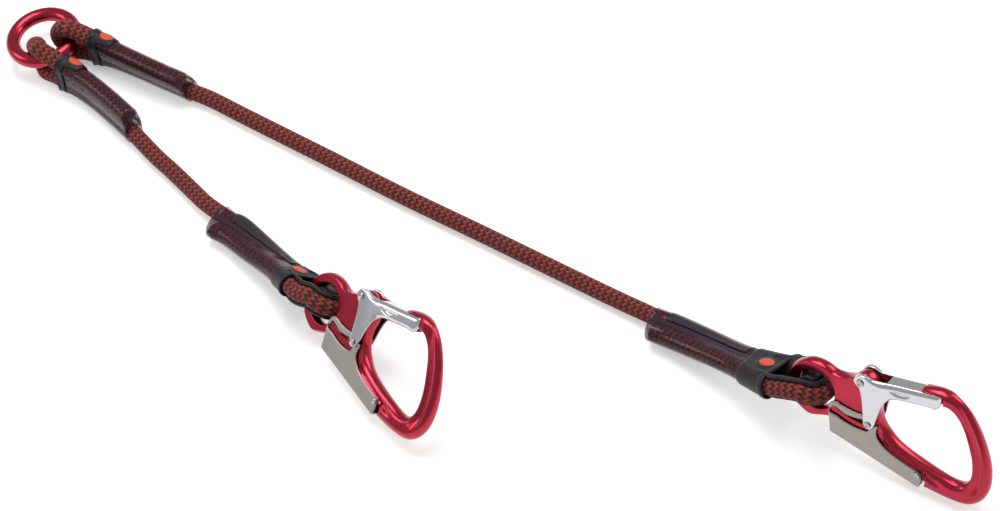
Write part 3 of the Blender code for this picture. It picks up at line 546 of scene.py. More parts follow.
# %% Turns
RING_TURN_RISE = 11.75
EYE_TURN_MIDDLE, EYE_TURN_REACH, EYE_TURN_SLANT = -7.0, 13.2, 1.5
EYE_APPROACH = (-17.0, -5.2, 13.4)


def ring_turn(crossing, heading, reach):
    """How a loop goes round the ring: from under it, up inside it and back over it."""
    forward = Vector((math.cos(math.radians(heading)), math.sin(math.radians(heading)), 0))
    middle = Vector((*crossing, RING_HEIGHT))
    turn = []
    for degrees in range(-90, -271, -20):
        angle = math.radians(degrees)
        rise = Vector((0, 0, RING_TURN_RISE * math.sin(angle)))
        turn.append(middle + forward * reach * math.cos(angle) + rise)
    return turn


def hook_matrix(stand):
    """The place and turn of a hook, from its plan in mm to the table."""
    place, turns = stand
    angles = [math.radians(angle) for angle in turns]
    return Matrix.Translation(on_table(place)) @ Euler(angles, "XYZ").to_matrix().to_4x4()


def eye_turn(stand):
    """How a loop goes through a hook's eye, from behind the hook to its front."""
    x, y, z = EYE_APPROACH
    spots = [(x, y, -z)]
    for degrees in range(-90, 91, 20):
        angle = math.radians(degrees)
        reach, rise = EYE_TURN_REACH * math.cos(angle), EYE_TURN_REACH * math.sin(angle)
        spots.append((EYE_TURN_MIDDLE + reach, EYE_TURN_SLANT * math.cos(angle), rise))
    spots.append((x, y, z))
    matrix = hook_matrix(stand)
    return [(matrix @ (Vector(spot) * MM)) / MM + TABLE for spot in spots]


# %% Sewn eyes
SMALL_STEP = 0.02


class SewnEye:
    """A strand runs in, turns round a ring or through a hook's eye, and runs back as the tail."""

    def __init__(self, single, pairs, turn):
        mains = [main for main, tail in pairs]
        tails = [tail for main, tail in pairs]
        tail_end = Vector(tails[0]) + Vector(single[-1]) - Vector(mains[0])
        self.points = [on_table(p) for p in single + mains + list(turn) + tails[::-1] + [tail_end]]
        self.first = len(single)
        self.last = len(self.points) - 2
        self.pairs = len(pairs) - 1

    def strands(self, t, ahead=0.0):
        """Both strands at pair numbers t: two centres, the way to the eye, and the way across.

        The main strand can be read a number farther ahead than the tail."""
        main = read_route(self.points, self.first + t + ahead)
        tail = read_route(self.points, self.last - t)
        way = unit(
            read_route(self.points, self.first + t + ahead + SMALL_STEP) - main
            + read_route(self.points, self.last - t - SMALL_STEP) - tail
        )
        across = tail - main
        across = unit(across - way * np.sum(across * way, axis=1, keepdims=True))
        return main, tail, way, across

    def at(self, t):
        """The same as strands, at one pair number."""
        return [rows[0] for rows in self.strands(np.array([t]))]


EYES = {}
for leg, data in LEGS.items():
    EYES[leg, "ring"] = SewnEye(*data["ring"], ring_turn(*data["ring_turn"]))
    EYES[leg, "hook"] = SewnEye(*data["hook"], eye_turn(data["stand"]))
print("sewn eyes", len(EYES))

# %% [markdown]
# ## The free runs
# Between its two sewn eyes each leg is one plain stretch of rope that lies on the table. The real
# rope is one piece from end to end. Here the run ends inside the ends of the sleeves, which hide
# the joins.

# %% Free runs of rope
RUN_GAP = 1.2 * MM
for leg, data in LEGS.items():
    ends = []
    for place in ("ring", "hook"):
        first, second = read_route(EYES[leg, place].points, [0.0, SMALL_STEP])
        ends.append(first + unit(first - second) * RUN_GAP)
    points = [ends[0], *[on_table(p) for p in data["run"]], ends[1]]
    work, route, length = rope_mesh(points)
    run = show(f"{leg}_run", work, f"{leg}_leg", ROPE, f"{leg}_rope_run")
    print(leg, "run", round(length, 4), "m, faces", len(run.data.polygons))

# %% [markdown]
# ## The loops
# At each end the same rope turns round the ring or through the hook's eye and comes back beside
# itself. The tail is sewn to the main strand under the sleeve, and its end reaches a little past
# the last pair of points. Where it presses on the ring the rope is wider.

# %% Loops
STUB = {"ring": 0.8, "hook": 0.3}
LOOP_ROUTES = {}
for (leg, place), eye in EYES.items():
    bend = None
    if place == "ring":
        crossing, heading, _ = LEGS[leg]["ring_turn"]
        heading = math.radians(heading)
        bend = (on_table((*crossing, RING_HEIGHT)), (-math.sin(heading), math.cos(heading), 0))
    stub = eye.points[-1] + (eye.points[0] - eye.points[1]) * STUB[place]
    work, route, length = rope_mesh([*eye.points, stub], bend=bend)
    LOOP_ROUTES[leg, place] = route
    name = f"{leg}_{place}_end_loop"
    show(f"{leg}_{place}_loop", work, f"{leg}_leg", ROPE, name)
    print(name, round(length, 4))

# %% [markdown]
# ## A skin round two strands
# A sleeve is a tube of clear smoked film over both strands. Its outline is two half circles and
# two flats. The film sinks a little between the strands, as it does when it is shrunk on, so the
# flats carry a soft hollow. Just past the tail's end the two half circles close on the one
# strand along a quarter of an ellipse, which makes the sleeve's end blunt and round.

# %% The outline round two strands
ARC = 0.32
HOLLOW = 0.9 * MM


def outline(first, second, way, across, radius, u, hollow):
    """Points round two strands at the share u of the outline; every input has a row for each."""
    side = np.cross(way, across)
    part = np.select([u < ARC, u < 0.5, u < 0.5 + ARC], [0, 1, 2], 3)
    begun = u - part // 2 * 0.5
    share = np.where(part % 2 == 0, begun / ARC, (begun - ARC) / (0.5 - ARC))
    angle = np.pi * np.select([part == 0, part == 2], [1 + share, share], 0)
    out = turned(angle, side, across)
    arcs = np.where((part == 0)[:, None], first, second) + radius[:, None] * out
    sign = np.where(part == 1, 1.0, -1.0)
    start = np.where((part == 1)[:, None], first, second)
    end = np.where((part == 1)[:, None], second, first)
    depth = radius - hollow * np.sin(np.pi * share) ** 2
    flats = start + (end - start) * share[:, None] + side * (sign * depth)[:, None]
    return np.where((part % 2 == 0)[:, None], arcs, flats)


def skin(stations, around=64):
    """A closed wall: stations run up its outside and back down its inside.

    A station is (first strand, second strand, way, across, radius, hollow)."""
    columns = [np.array([station[k] for station in stations]) for k in range(6)]
    rows = len(stations)

    def place(u, w):
        row = np.rint(w * rows).astype(int) % rows
        one, two, way, across, radius, hollow = [column[row] for column in columns]
        return outline(one, two, way, across, radius, u % 1.0, hollow)

    length = sum(np.linalg.norm(columns[0][1:] - columns[0][:-1], axis=1)) / MM
    return rolled(rows, around, place, length, capped=False)


# %% [markdown]
# ## Stations of a sleeve
# A station is one outline, with the places of both strands under it. A list of stations runs from
# the film's end in the boot to the sleeve's free end. The inner wall uses the same stations with
# a smaller radius, so the film has its thickness everywhere.

# %% Stations of a sleeve
BORE = 6.45 * MM
FILM = 0.6 * MM
LIP = 0.3 * MM
COLLAR = 2.5 * MM
CLOSED_OVER = 5.0 * MM
PINCH = 0.02
RIPPLE, WAVES = 0.06 * MM, (9.0, 3.7)
STRAND_ROWS, CLOSING_ROWS = 60, 16
END_STEPS = (0.2, 0.4, 0.55, 0.7, 0.8, 0.88, 0.94, 0.98, 1.0)


def sleeve_stations(eye, film_end, radius, rippled):
    """From the film's end in the boot, over both strands, to the blunt end on the one strand."""
    stations = []
    seed = float(eye.points[0].x * 40)
    for t in np.linspace(film_end, -1, STRAND_ROWS):
        main, tail, way, across = eye.at(t)
        wave = math.sin(WAVES[0] * t + seed) * math.sin(WAVES[1] * t + 2 * seed)
        swell = rippled * RIPPLE * wave
        stations.append((main, tail, way, across, radius + swell, HOLLOW * rippled))
    apart = tail - main
    start, after = read_route(eye.points, [0.0, SMALL_STEP])
    way = unit(after - start)
    level = unit(apart - way * np.dot(apart, way))
    route = list(read_route(eye.points, np.linspace(eye.first - 1, 0, CLOSING_ROWS)[1:]))
    route += [start - way * COLLAR * share for share in END_STEPS]
    for centre in route:
        left = min(np.linalg.norm(centre - route[-1]) / CLOSED_OVER, 1)
        share = max(PINCH, math.sqrt(1 - (1 - left) ** 2))
        lip = LIP * rippled * float(ease(1.4 - 4 * left))
        hollow = HOLLOW * rippled * share
        stations.append((centre, centre + apart * share, way, level, radius + lip, hollow))
    return stations


# %% [markdown]
# ## Smoked film
# The film is a clear plastic with a purple smoke in it. Light passes it, dims and comes back from
# the rope, so the braid shows through, darker and pinker than in the open. The shader is partly
# see-through and has a clear gloss on top. Where the film spans the gap between the strands or
# the hollow at its end, no rope lies behind it. An attribute marks how far it is from the rope
# there, and makes the film more opaque and darker: a painted shade for the dim hollow behind it.

# %% Film finish
# The second number is how much more opaque the painted shade makes the film where no rope is behind.
FILM_ALPHA, GAP_SHADE_ALPHA = 0.36, 0.5
SMOKED = surface(
    "smoked_film", (0.026, 0.006, 0.017), (0.048, 0.014, 0.032), (60.0, 3.0),
    {"Roughness": 0.30, "Specular IOR Level": 0.10, "Coat Weight": 0.65, "Coat Roughness": 0.05},
    (55.0, 1.0, 0.05, 0.0005),
)
tree = SMOKED.node_tree
# This attribute makes the film more opaque and darker away from the rope: painted shade.
fold = tree.nodes.new("ShaderNodeAttribute")
fold.attribute_name = "fold"
shade_alpha = math_node(tree, "MULTIPLY", fold.outputs["Fac"], GAP_SHADE_ALPHA)
alpha = math_node(tree, "ADD", shade_alpha, FILM_ALPHA)
tree.links.new(alpha, tree.nodes["Principled BSDF"].inputs["Alpha"])
print("film finish made")

# %% Sleeves
# How far past the bore the film's painted shade begins, and over how much it grows to full.
GAP_SHADE_FROM, GAP_SHADE_OVER = 0.9 * MM, 1.0 * MM
FILM_SHORT = {"ring": 0.6, "hook": 0.7}
for (leg, place), eye in EYES.items():
    film_end = eye.pairs - FILM_SHORT[place]
    outside = sleeve_stations(eye, film_end, BORE + FILM, 1)
    inside = sleeve_stations(eye, film_end, BORE, 0)
    work = skin(outside + inside[::-1])
    # Each corner's distance from the rope sets how much painted shade the film has there.
    mark = work.verts.layers.float.new("fold")
    for vert in work.verts:
        gap = np.min(np.linalg.norm(LOOP_ROUTES[leg, place] - np.array(vert.co), axis=1))
        vert[mark] = float(ease((gap - BORE - GAP_SHADE_FROM) / GAP_SHADE_OVER))
    name = f"{leg}_{place}_end_sleeve"
    show(f"{leg}_{place}_sleeve", work, f"{leg}_leg", SMOKED, name)
    print(name, "stations", len(outside))

# %% [markdown]
# ## Rubber boots
# A moulded boot closes the sleeve next to the eye, and the film runs on inside it. It is black
# rubber with a thicker rim where the rope comes out. Next to the ring the side that faces the
# table's edge is only a narrow band, and the film shows behind it. At the hook the boot reaches
# farther over the strand that goes behind the hook. A low pad rises under each orange dot.

# %% Boots
RUBBER = surface(
    "moulded_rubber", (0.007, 0.006, 0.009), (0.016, 0.014, 0.020), (90.0, 4.0),
    {"Roughness": 0.48, "Specular IOR Level": 0.28}, (1500.0, 2.0, 0.2, 0.0001),
)
BOOT_WALL = 1.5 * MM
BOOT_PLAY = 0.1 * MM
BOOT_BORE = BORE + FILM + BOOT_PLAY
RIM_RISE = 0.75 * MM
BAND_FROM = 0.68
FAR_REACH = {"ring": 0.0, "hook": 0.5}
BOOT_FRONT = {"ring": 0.42, "hook": 0.0}
PAD_RISE = 0.55 * MM
DOT_LENGTH, DOT_WIDTH, DOT_RISE = 12.0 * MM, 8.0 * MM, 0.75 * MM
DOT_LEAN, DOT_SUNK, FLAT_BEND = math.radians(27), 0.1 * MM, 60 * MM
PAD_MARGIN = 2.2 * MM, 2.0 * MM
PAD_DEPTH, PAD_EDGE, PAD_SOFT = 3.2 * MM, 0.8, 0.3
BOOT_LATER = 0.55
BOOT_ROWS, BOOT_AROUND = 44, 96
FACING_FROM, FACING_OVER = 0.25, 0.35
RIM_FROM, RIM_TO, RIM_SOFT = 0.80, 1.04, 0.08
FOOT_THINNER, FOOT_OVER = 0.5 * MM, 0.06
REACH_FROM = 0.35
BOOT_HOLLOW = 0.3 * HOLLOW


def dot_seat(eye, place):
    """Where a dot sits on a boot: its middle, its normal, its long way, and the round under it."""
    if place == "ring":
        main, tail, way, across = eye.at(RING_BOOT_AT + 0.5)
        normal = across * math.cos(DOT_LEAN) + np.cross(way, across) * math.sin(DOT_LEAN)
        return tail + normal * (BORE + BOOT_WALL), normal, way, BORE + BOOT_WALL
    main, tail, way, across = eye.at(eye.pairs - 0.5)
    normal = -unit(np.cross(way, across))
    return (main + tail) / 2 + normal * (BORE + BOOT_WALL - DOT_SUNK), normal, way, FLAT_BEND


def places_of(work):
    """The places of a bmesh's corners, one row for each."""
    return np.array([v.co[:] for v in work.verts])


def boot_shape(eye, place, back):
    """A boot as one rolled grid: up its outside, over the rim, and down its inside."""
    rows = 2 * BOOT_ROWS
    front = eye.pairs - BOOT_FRONT[place]

    def rule(u, w):
        row = np.rint(w * rows).astype(int) % rows
        outer = row < BOOT_ROWS
        share = np.where(outer, row, rows - 1 - row) / (BOOT_ROWS - 1)
        main, tail, way, across = eye.strands(back + 0 * share)
        shape = outline(main, tail, way, across, BORE + 0 * share, u % 1.0, 0 * share)
        near = (main + tail) / 2 - shape
        facing = np.sum(near * np.cross(way, across), axis=1) / BORE
        band = ease((facing - FACING_FROM) / FACING_OVER) if place == "ring" else 0.0 * share
        start = back + (front - back) * BAND_FROM * band
        t = start + (front - start) * share
        ahead = FAR_REACH[place] * ease((share - REACH_FROM) / (1 - REACH_FROM))
        main, tail, way, across = eye.strands(t, ahead)
        rim = RIM_RISE * ease((share - RIM_FROM) / RIM_SOFT) * ease((RIM_TO - share) / RIM_SOFT)
        foot = -FOOT_THINNER * np.clip(1 - share / FOOT_OVER, 0, 1)
        radius = np.where(outer, BORE + BOOT_WALL + rim + foot, BOOT_BORE)
        hollow = np.where(outer, BOOT_HOLLOW, 0)
        return outline(main, tail, way, across, radius, u % 1.0, hollow)

    work = rolled(rows, BOOT_AROUND, rule, capped=False)
    seat, normal, way, _ = dot_seat(eye, place)
    spots = places_of(work) - seat
    along = spots @ way / (DOT_LENGTH / 2 + PAD_MARGIN[0])
    aside = spots @ unit(np.cross(normal, way)) / (DOT_WIDTH / 2 + PAD_MARGIN[1])
    lift = PAD_RISE * (1 - ease((np.hypot(along, aside) - PAD_EDGE) / PAD_SOFT))
    lift[spots @ normal < -PAD_DEPTH] = 0
    for vert, rise in zip(work.verts, lift):
        vert.co += Vector(normal * rise)
    return work


for (leg, place), eye in EYES.items():
    back = RING_BOOT_AT if place == "ring" else LEGS[leg]["boot_at"] + BOOT_LATER
    work = boot_shape(eye, place, back)
    name = f"{leg}_{place}_end_boot"
    made = show(f"{leg}_{place}_boot", work, f"{leg}_leg", RUBBER, name)
    print(name, "faces", len(made.data.polygons))

# %% [markdown]
# ## Thimbles
# Inside each hook loop a rubber channel keeps the rope off the forged eye. It follows the inner
# side of the turn. Its section is an arc with flared lips, swept along the loop. A rubber saddle
# fills the hollow between the channel and the eye's bar, so the rope can't slide back.

# %% Thimbles
THIMBLE_WALL, THIMBLE_TUCK = 1.8 * MM, 5 * MM
LIP_FLARE, LIP_ANGLE, LIP_SHARE = 0.9 * MM, 98, 0.16
SADDLE = [(-11.7, -3.2), (-10.0, -7.0), (-6.0, -8.2), (-1.4, -8.2), (-1.4, 8.6), (-6.0, 8.6),
          (-10.0, 7.0), (-11.7, 3.2)]
SADDLE_HALF, SADDLE_ROUND = 6.3 * MM, 2.2 * MM


def saddle_shape(stand):
    """The rubber that fills the inside of the turn, as a prism with round edges."""
    work = bmesh.new()
    corners = [work.verts.new((x * MM, y * MM, -SADDLE_HALF)) for x, y in SADDLE]
    lifted = bmesh.ops.extrude_face_region(work, geom=[work.faces.new(corners)])
    top = [part for part in lifted["geom"] if isinstance(part, bmesh.types.BMVert)]
    bmesh.ops.translate(work, verts=top, vec=(0, 0, 2 * SADDLE_HALF))
    bmesh.ops.bevel(
        work, geom=work.edges[:], offset=SADDLE_ROUND, segments=5, profile=0.5, affect="EDGES",
        material=-1, clamp_overlap=True,
    )
    bmesh.ops.recalc_face_normals(work, faces=work.faces)
    work.transform(hook_matrix(stand))
    return work


def thimble_shape(eye):
    """The channel, as a rolled grid along the inner side of the turn."""
    inner = eye.pairs - 0.5
    t = np.linspace(eye.first + inner, eye.last - inner, 90)
    centre = read_route(eye.points, t)
    way = unit(read_route(eye.points, t + 0.01) - centre)
    main, tail, _, _ = eye.at(inner)
    back = unit((main + tail) / 2 - read_route(eye.points, (eye.first + eye.last) / 2))
    toward = (centre + centre[::-1]) / 2 + back * THIMBLE_TUCK - centre
    inward = unit(toward - way * np.sum(toward * way, axis=1, keepdims=True))
    side = np.cross(way, inward)
    rows = len(t) - 1

    def rule(u, w):
        row = np.clip(np.rint(w * rows).astype(int), 0, rows)
        outer, share = round_strip(u)
        angle = np.radians(LIP_ANGLE * (2 * share - 1))
        edge = 1 - np.clip(np.minimum(share, 1 - share) / LIP_SHARE, 0, 1)
        flare = LIP_FLARE * np.sin(np.pi * np.clip(edge, 0, 1)) * outer
        wall = THIMBLE_WALL * np.sqrt(np.clip(1 - edge**4, 0.04, 1))
        radius = np.where(outer, BORE + wall + flare, BORE)
        return centre[row] + radius[:, None] * turned(angle, inward[row], side[row])

    return rolled(rows, 64, rule)


for leg in LEGS:
    work = thimble_shape(EYES[leg, "hook"])
    saddle = as_mesh("saddle", saddle_shape(LEGS[leg]["stand"]))
    work.from_mesh(saddle)
    bpy.data.meshes.remove(saddle)
    show(f"{leg}_thimble", work, f"{leg}_leg", RUBBER, f"{leg}_hook_thimble")
print("thimbles made")

# %% [markdown]
# ## Dots
# An oval of orange-red rubber is set in each boot's pad. `create_uvsphere` makes a ball. Its upper
# half is pressed to a disc with a soft edge, its lower half is sunk in the boot, and the disc is
# then bent to the round that it lies on. A volume below zero shows that, and the faces are turned
# round.

# %% Dots
DOT_UNDER, DOT_POWER = 0.3 * MM, 5
ORANGE_RUBBER = surface(
    "orange_rubber", (0.50, 0.045, 0.018), (0.62, 0.075, 0.028), (300.0, 3.0),
    {"Roughness": 0.5}, (1800.0, 2.0, 0.15, 0.0001),
)
for (leg, place), eye in EYES.items():
    seat, normal, way, bend = dot_seat(eye, place)
    work = bmesh.new()
    bmesh.ops.create_uvsphere(work, u_segments=56, v_segments=28, radius=1.0)
    ball = places_of(work)
    out = np.hypot(ball[:, 0], ball[:, 1])
    height = PAD_RISE + DOT_RISE * np.sqrt(np.clip(1 - out**DOT_POWER, 0, 1))
    height = np.where(ball[:, 2] > 0, height, -DOT_UNDER)
    angle = ball[:, 1] * DOT_WIDTH / 2 / bend
    wide_way = unit(np.cross(normal, way))
    reach = bend + height
    spots = seat + np.outer(ball[:, 0] * DOT_LENGTH / 2, way)
    spots += np.outer(np.cos(angle) * reach - bend, normal)
    spots += np.outer(np.sin(angle) * reach, wide_way)
    move_to(work, spots)
    bmesh.ops.recalc_face_normals(work, faces=work.faces)
    if work.calc_volume(signed=True) < 0:
        bmesh.ops.reverse_faces(work, faces=work.faces)
    name = f"{leg}_{place}_dot"
    show(f"{leg}_{place}_oval", work, f"{leg}_leg", ORANGE_RUBBER, name)
print("dots made")

# %% [markdown]
# ## Labels
# A strip of dark film is stuck on each hook-end sleeve. It lies over one strand's outer side and
# a part of the flat. A thin rolled grid follows the sleeve's outline.

# %% Label film
LABEL_SEAT, LABEL_THICKNESS = 7.13 * MM, 0.15 * MM
LABEL_FROM, LABEL_PAST_BOOT = -0.5, 0.3
LABEL_ARC, LABEL_ON_ARC, LABEL_ON_FLAT = 105, 0.72, 4.5 * MM
LABEL_FILM = surface(
    "label_film", (0.009, 0.006, 0.009), (0.020, 0.014, 0.019), (45.0, 4.0),
    {"Roughness": 0.24, "Alpha": 0.80, "Coat Weight": 0.4, "Coat Roughness": 0.12},
    (160.0, 2.0, 0.12, 0.0004),
)
for leg in LEGS:
    eye = EYES[leg, "hook"]
    t = np.linspace(LABEL_FROM, LEGS[leg]["boot_at"] + LABEL_PAST_BOOT, 110)
    main, tail, way, across = eye.strands(t)
    apart = -across
    out = np.cross(way, apart)
    rows = len(t) - 1

    def place(u, w):
        row = np.clip(np.rint(w * rows).astype(int), 0, rows)
        outer, share = round_strip(u)
        angle = np.radians(LABEL_ARC - LABEL_ARC * np.clip(share / LABEL_ON_ARC, 0, 1))
        reach = -LABEL_ON_FLAT * np.clip((share - LABEL_ON_ARC) / (1 - LABEL_ON_ARC), 0, 1)
        radius = LABEL_SEAT + np.where(outer, LABEL_THICKNESS, 0)
        ray = turned(angle, out[row], apart[row])
        return main[row] + radius[:, None] * ray + reach[:, None] * apart[row]

    work = rolled(rows, 56, place)
    show(f"{leg}_label", work, f"{leg}_leg", LABEL_FILM, f"{leg}_hook_label")
print("labels made")

# %% [markdown]
# ## Stitching
# Two rows of thick thread join the tail to the main strand, one on each flat. A thread is a
# bevelled curve, as any cord is, turned into a mesh once its line is right.

# %% Stitching
THREAD, WELD = 1.1 * MM, 1e-6
STITCH_PITCH, STITCH_DEPTH, STITCH_SWING = 2.5 * MM, 5.2 * MM, 1.5 * MM
WAXED = surface(
    "waxed_thread", (0.10, 0.012, 0.014), (0.22, 0.030, 0.026), (1200.0, 2.0), {"Roughness": 0.6}
)


def evaluated(made):
    """What an object comes to with its modifiers, as a bmesh."""
    bpy.context.view_layer.update()
    graph = bpy.context.evaluated_depsgraph_get()
    mesh = bpy.data.meshes.new_from_object(made.evaluated_get(graph))
    work = bmesh.new()
    work.from_mesh(mesh)
    bpy.data.meshes.remove(mesh)
    return work


def welded(work):
    """A bmesh with doubled corners joined and its faces turned outward."""
    bmesh.ops.remove_doubles(work, verts=work.verts, dist=WELD)
    bmesh.ops.recalc_face_normals(work, faces=work.faces)
    return work


def curve_mesh(curve):
    """What a curve comes to, as a welded bmesh; the curve itself is used up."""
    holder = in_scene("holder", curve)
    work = evaluated(holder)
    bpy.data.objects.remove(holder, do_unlink=True)
    bpy.data.curves.remove(curve)
    return welded(work)


def thread_mesh(points, radius):
    """A round thread along a line of points, closed at both ends."""
    curve = bpy.data.curves.new("thread_line", "CURVE")
    curve.dimensions = "3D"
    curve.bevel_depth = radius
    curve.bevel_resolution = 3
    curve.use_fill_caps = True
    spline = curve.splines.new("POLY")
    spline.points.add(len(points) - 1)
    for target, point in zip(spline.points, points):
        target.co = (*point, 1.0)
    return curve_mesh(curve)


for (leg, place), eye in EYES.items():
    boot_at = RING_BOOT_AT if place == "ring" else LEGS[leg]["boot_at"]
    main, tail, way, across = eye.strands(np.linspace(0.5, boot_at - 0.5, 200))
    middle = (main + tail) / 2
    run = np.concatenate([[0], np.cumsum(np.linalg.norm(np.diff(middle, axis=0), axis=1))])
    count = round(run[-1] / STITCH_PITCH)
    for label, sign in (("near", 1), ("far", -1)):
        corners = []
        for k in range(count + 1):
            at = run[-1] * k / count
            row = int(np.argmin(np.abs(run - at)))
            out = np.cross(way[row], across[row]) * sign
            swing = STITCH_SWING * (1 if k % 2 else -1)
            corners.append(middle[row] + out * STITCH_DEPTH + across[row] * swing)
        line = read_route(corners, np.linspace(0, count, 6 * count + 1))
        name = f"{leg}_{place}_end_stitching_{label}"
        work = thread_mesh(line, THREAD / 2)
        show(f"{leg}_{place}_seam_{label}", work, f"{leg}_leg", WAXED, name)
print("seams made")

# %% [markdown]
# ## Anodised and polished metal
# The ring and the hooks' frames are forged aluminium, tumbled, and anodised red: a metal that
# tints what it mirrors. The gates are the same alloy, polished bare. The palm levers are stamped
# steel with a dull grey-beige skin.

# %% Metal finishes


def metal(name, low, high, roughness, coat, grain):
    """A metal with a fine grain and as much of a clear coat as is asked for."""
    settings = {"Metallic": 1.0, "Roughness": roughness, "Coat Weight": coat}
    settings["Coat Roughness"] = 0.12
    return surface(name, low, high, (55.0, 3.0), settings, (grain, 2.0, 0.12, 0.00006))


RED = metal("red_anodised", (0.34, 0.015, 0.034), (0.42, 0.021, 0.046), 0.25, 0.25, 900.0)
SILVER = metal("polished_alloy", (0.52, 0.53, 0.55), (0.60, 0.60, 0.62), 0.18, 0.0, 700.0)
STEEL = metal("satin_steel", (0.30, 0.275, 0.25), (0.37, 0.34, 0.31), 0.42, 0.0, 1400.0)
BRIGHT = metal("bright_steel", (0.36, 0.36, 0.37), (0.44, 0.44, 0.45), 0.26, 0.0, 900.0)

# %% [markdown]
# ## The ring
# A ring is a circle spun about an axis outside it. `spin` with `use_merge` closes it.

# %% Ring
RING_RADIUS, RING_TUBE = 23.1 * MM, 5.25 * MM
work = bmesh.new()
bmesh.ops.create_circle(work, radius=RING_TUBE, segments=40)
upright_circle = Matrix.Rotation(math.pi / 2, 3, "X")
bmesh.ops.rotate(work, verts=work.verts, cent=(0, 0, 0), matrix=upright_circle)
bmesh.ops.translate(work, verts=work.verts, vec=(RING_RADIUS, 0, 0))
bmesh.ops.spin(
    work, geom=work.verts[:] + work.edges[:], cent=(0, 0, 0), axis=(0, 0, 1),
    angle=math.tau, steps=128, use_merge=True,
)
welded(work)
bmesh.ops.translate(work, verts=work.verts, vec=RING_MIDDLE)
show("forged_ring", work, "ring", RED, "harness_ring")
print("ring made")

# %% [markdown]
# ## Forging a hook frame
# The frame starts as a flat plate cut to its plan, as a blank is. A voxel remesh gives it an even
# skin, and each corner is then moved by its distance from the rim, so that the square edge turns
# into a round one. A limit on the height makes the flat neck, and shallow grooves are pressed in
# along the spine and the bow. The plans are in mm of a hook that is 150.2 mm long, from the
# gate's hinge, and PLAN brings them to this hook's 148.4 mm.

# %% Hook plan
PLAN = 148.4 / 150.2 * MM
HOOK_EYE = (-27.3, -30.2)
ARM_PIN = (14.4, -27.9)
RIVET = (56.0, -43.9)
FRAME_HALF, NECK_HALF, PLATE_IN, PLATE_OUT = 5.5 * MM, 4.2 * MM, 4.5 * MM, 5.8 * MM
CHEEK_IN, CHEEK_OUT = 6.1 * MM, 7.7 * MM
FRAME_RIM = [
    (-24.0, -51.6), (-32.0, -51.3), (-40.0, -47.7), (-46.5, -40.0), (-48.9, -30.2), (-46.6, -20.5),
    (-40.5, -13.0), (-33.5, -9.5), (-26.5, -8.6), (-19.0, -9.4), (-12.5, -7.2), (-7.3, -3.0),
    (-4.6, 1.6), (-0.5, 4.9), (5.0, 4.6), (10.5, 1.5, 1), (16.6, -1.5, 1), (17.2, -9.0), (17.5, -16.5),
    (20.0, -23.0), (25.0, -28.4), (31.5, -32.0), (40.0, -34.4), (51.0, -35.5), (65.0, -35.6),
    (77.0, -34.9), (84.3, -31.8), (87.2, -25.5), (86.3, -17.5), (83.0, -8.8), (78.0, -0.4),
    (72.0, 8.0), (65.0, 14.6), (58.5, 17.4), (53.0, 15.8), (46.0, 13.2), (39.5, 13.0),
    (36.4, 16.0), (37.6, 20.6), (46.0, 25.4), (54.0, 27.3),
    (62.5, 26.2), (72.0, 21.2), (81.5, 12.8), (90.3, 2.0), (96.6, -8.5), (100.2, -18.5),
    (101.3, -27.5), (99.6, -36.0), (95.0, -42.8), (88.0, -46.8), (78.0, -49.5), (68.0, -51.2),
    (61.6, -51.9, 1), (60.6, -46.8, 1), (48.0, -46.4), (20.0, -45.4), (-4.0, -44.2), (-12.5, -44.6),
]
PLATE_RIM = [
    (-8.3, -52.6, 1), (59.5, -52.6, 1), (59.6, -46.2), (57.4, -41.5, 1), (48.0, -41.3), (40.0, -40.9),
    (32.0, -39.8), (26.3, -37.6), (22.2, -34.6), (20.6, -30.6), (20.2, -26.8), (15.5, -24.2),
    (9.5, -24.6), (3.0, -26.6), (-5.0, -27.7), (-10.8, -27.7), (-14.0, -29.6), (-14.9, -33.0),
    (-13.8, -38.5), (-10.8, -45.5),
]
NOSE_SIDE = [
    (33.0, 8.0), (55.0, 8.0), (55.0, 17.0), (54.2, 20.0), (53.3, 22.6), (53.3, 24.9), (46.4, 23.5),
    (40.0, 20.9), (33.0, 17.9),
]
NOSE_UNDERSIDE = [
    (32.0, 7.0), (55.2, 7.0), (55.2, 16.8), (47.0, 16.8), (47.0, 23.8), (46.4, 23.5), (40.0, 20.9),
    (32.0, 17.5),
]
NECK_SWEEP = [
    (-14.0, -14.0), (-14.0, 12.0), (8.0, 14.0), (13.6, 11.2), (17.0, 7.6), (19.4, 4.4), (21.4, 2.2),
    (24.8, 0.0), (25.6, -3.5), (24.0, -14.0),
]
NECK_EDGE = [
    (61.2, -56.0), (61.0, -44.6), (58.2, -39.8), (48.0, -39.3), (40.0, -38.6), (33.6, -37.2),
    (28.6, -34.8), (25.2, -31.6), (23.6, -27.6), (25.0, -20.0), (25.0, 10.0), (-56.0, 10.0),
    (-56.0, -56.0),
]
TONGUE_SLIT = [(45.2, 13.2), (60.0, 10.0), (60.0, 30.0), (43.5, 25.0)]
BOW_GROOVE = [
    (54.0, 25.5), (61.0, 23.0), (70.0, 16.8), (79.5, 7.2), (87.0, -3.6), (92.0, -15.0),
    (93.8, -26.0), (90.5, -37.0),
]
SPINE_GROOVE = [(24.0, -33.5), (31.0, -38.0), (42.0, -40.0), (60.0, -41.4), (76.0, -41.2)]


def plan_line(points, steps=8):
    """A plan outline in plan units, smooth but for the corners that are marked with a 1."""
    corners = [k for k, point in enumerate(points) if len(point) > 2]
    flat = [(point[0], point[1], 0.0) for point in points]
    if not corners:
        return read_route(flat, np.arange(0, len(flat), 1 / steps), closed=True)
    flat = flat[corners[0]:] + flat[: corners[0] + 1]
    stops = [k - corners[0] for k in corners] + [len(points)]
    parts = []
    for start, end in zip(stops, stops[1:]):
        span = flat[start:end + 1]
        parts.append(read_route(span, np.arange(0, end - start, 1 / steps)))
    return np.vstack(parts)


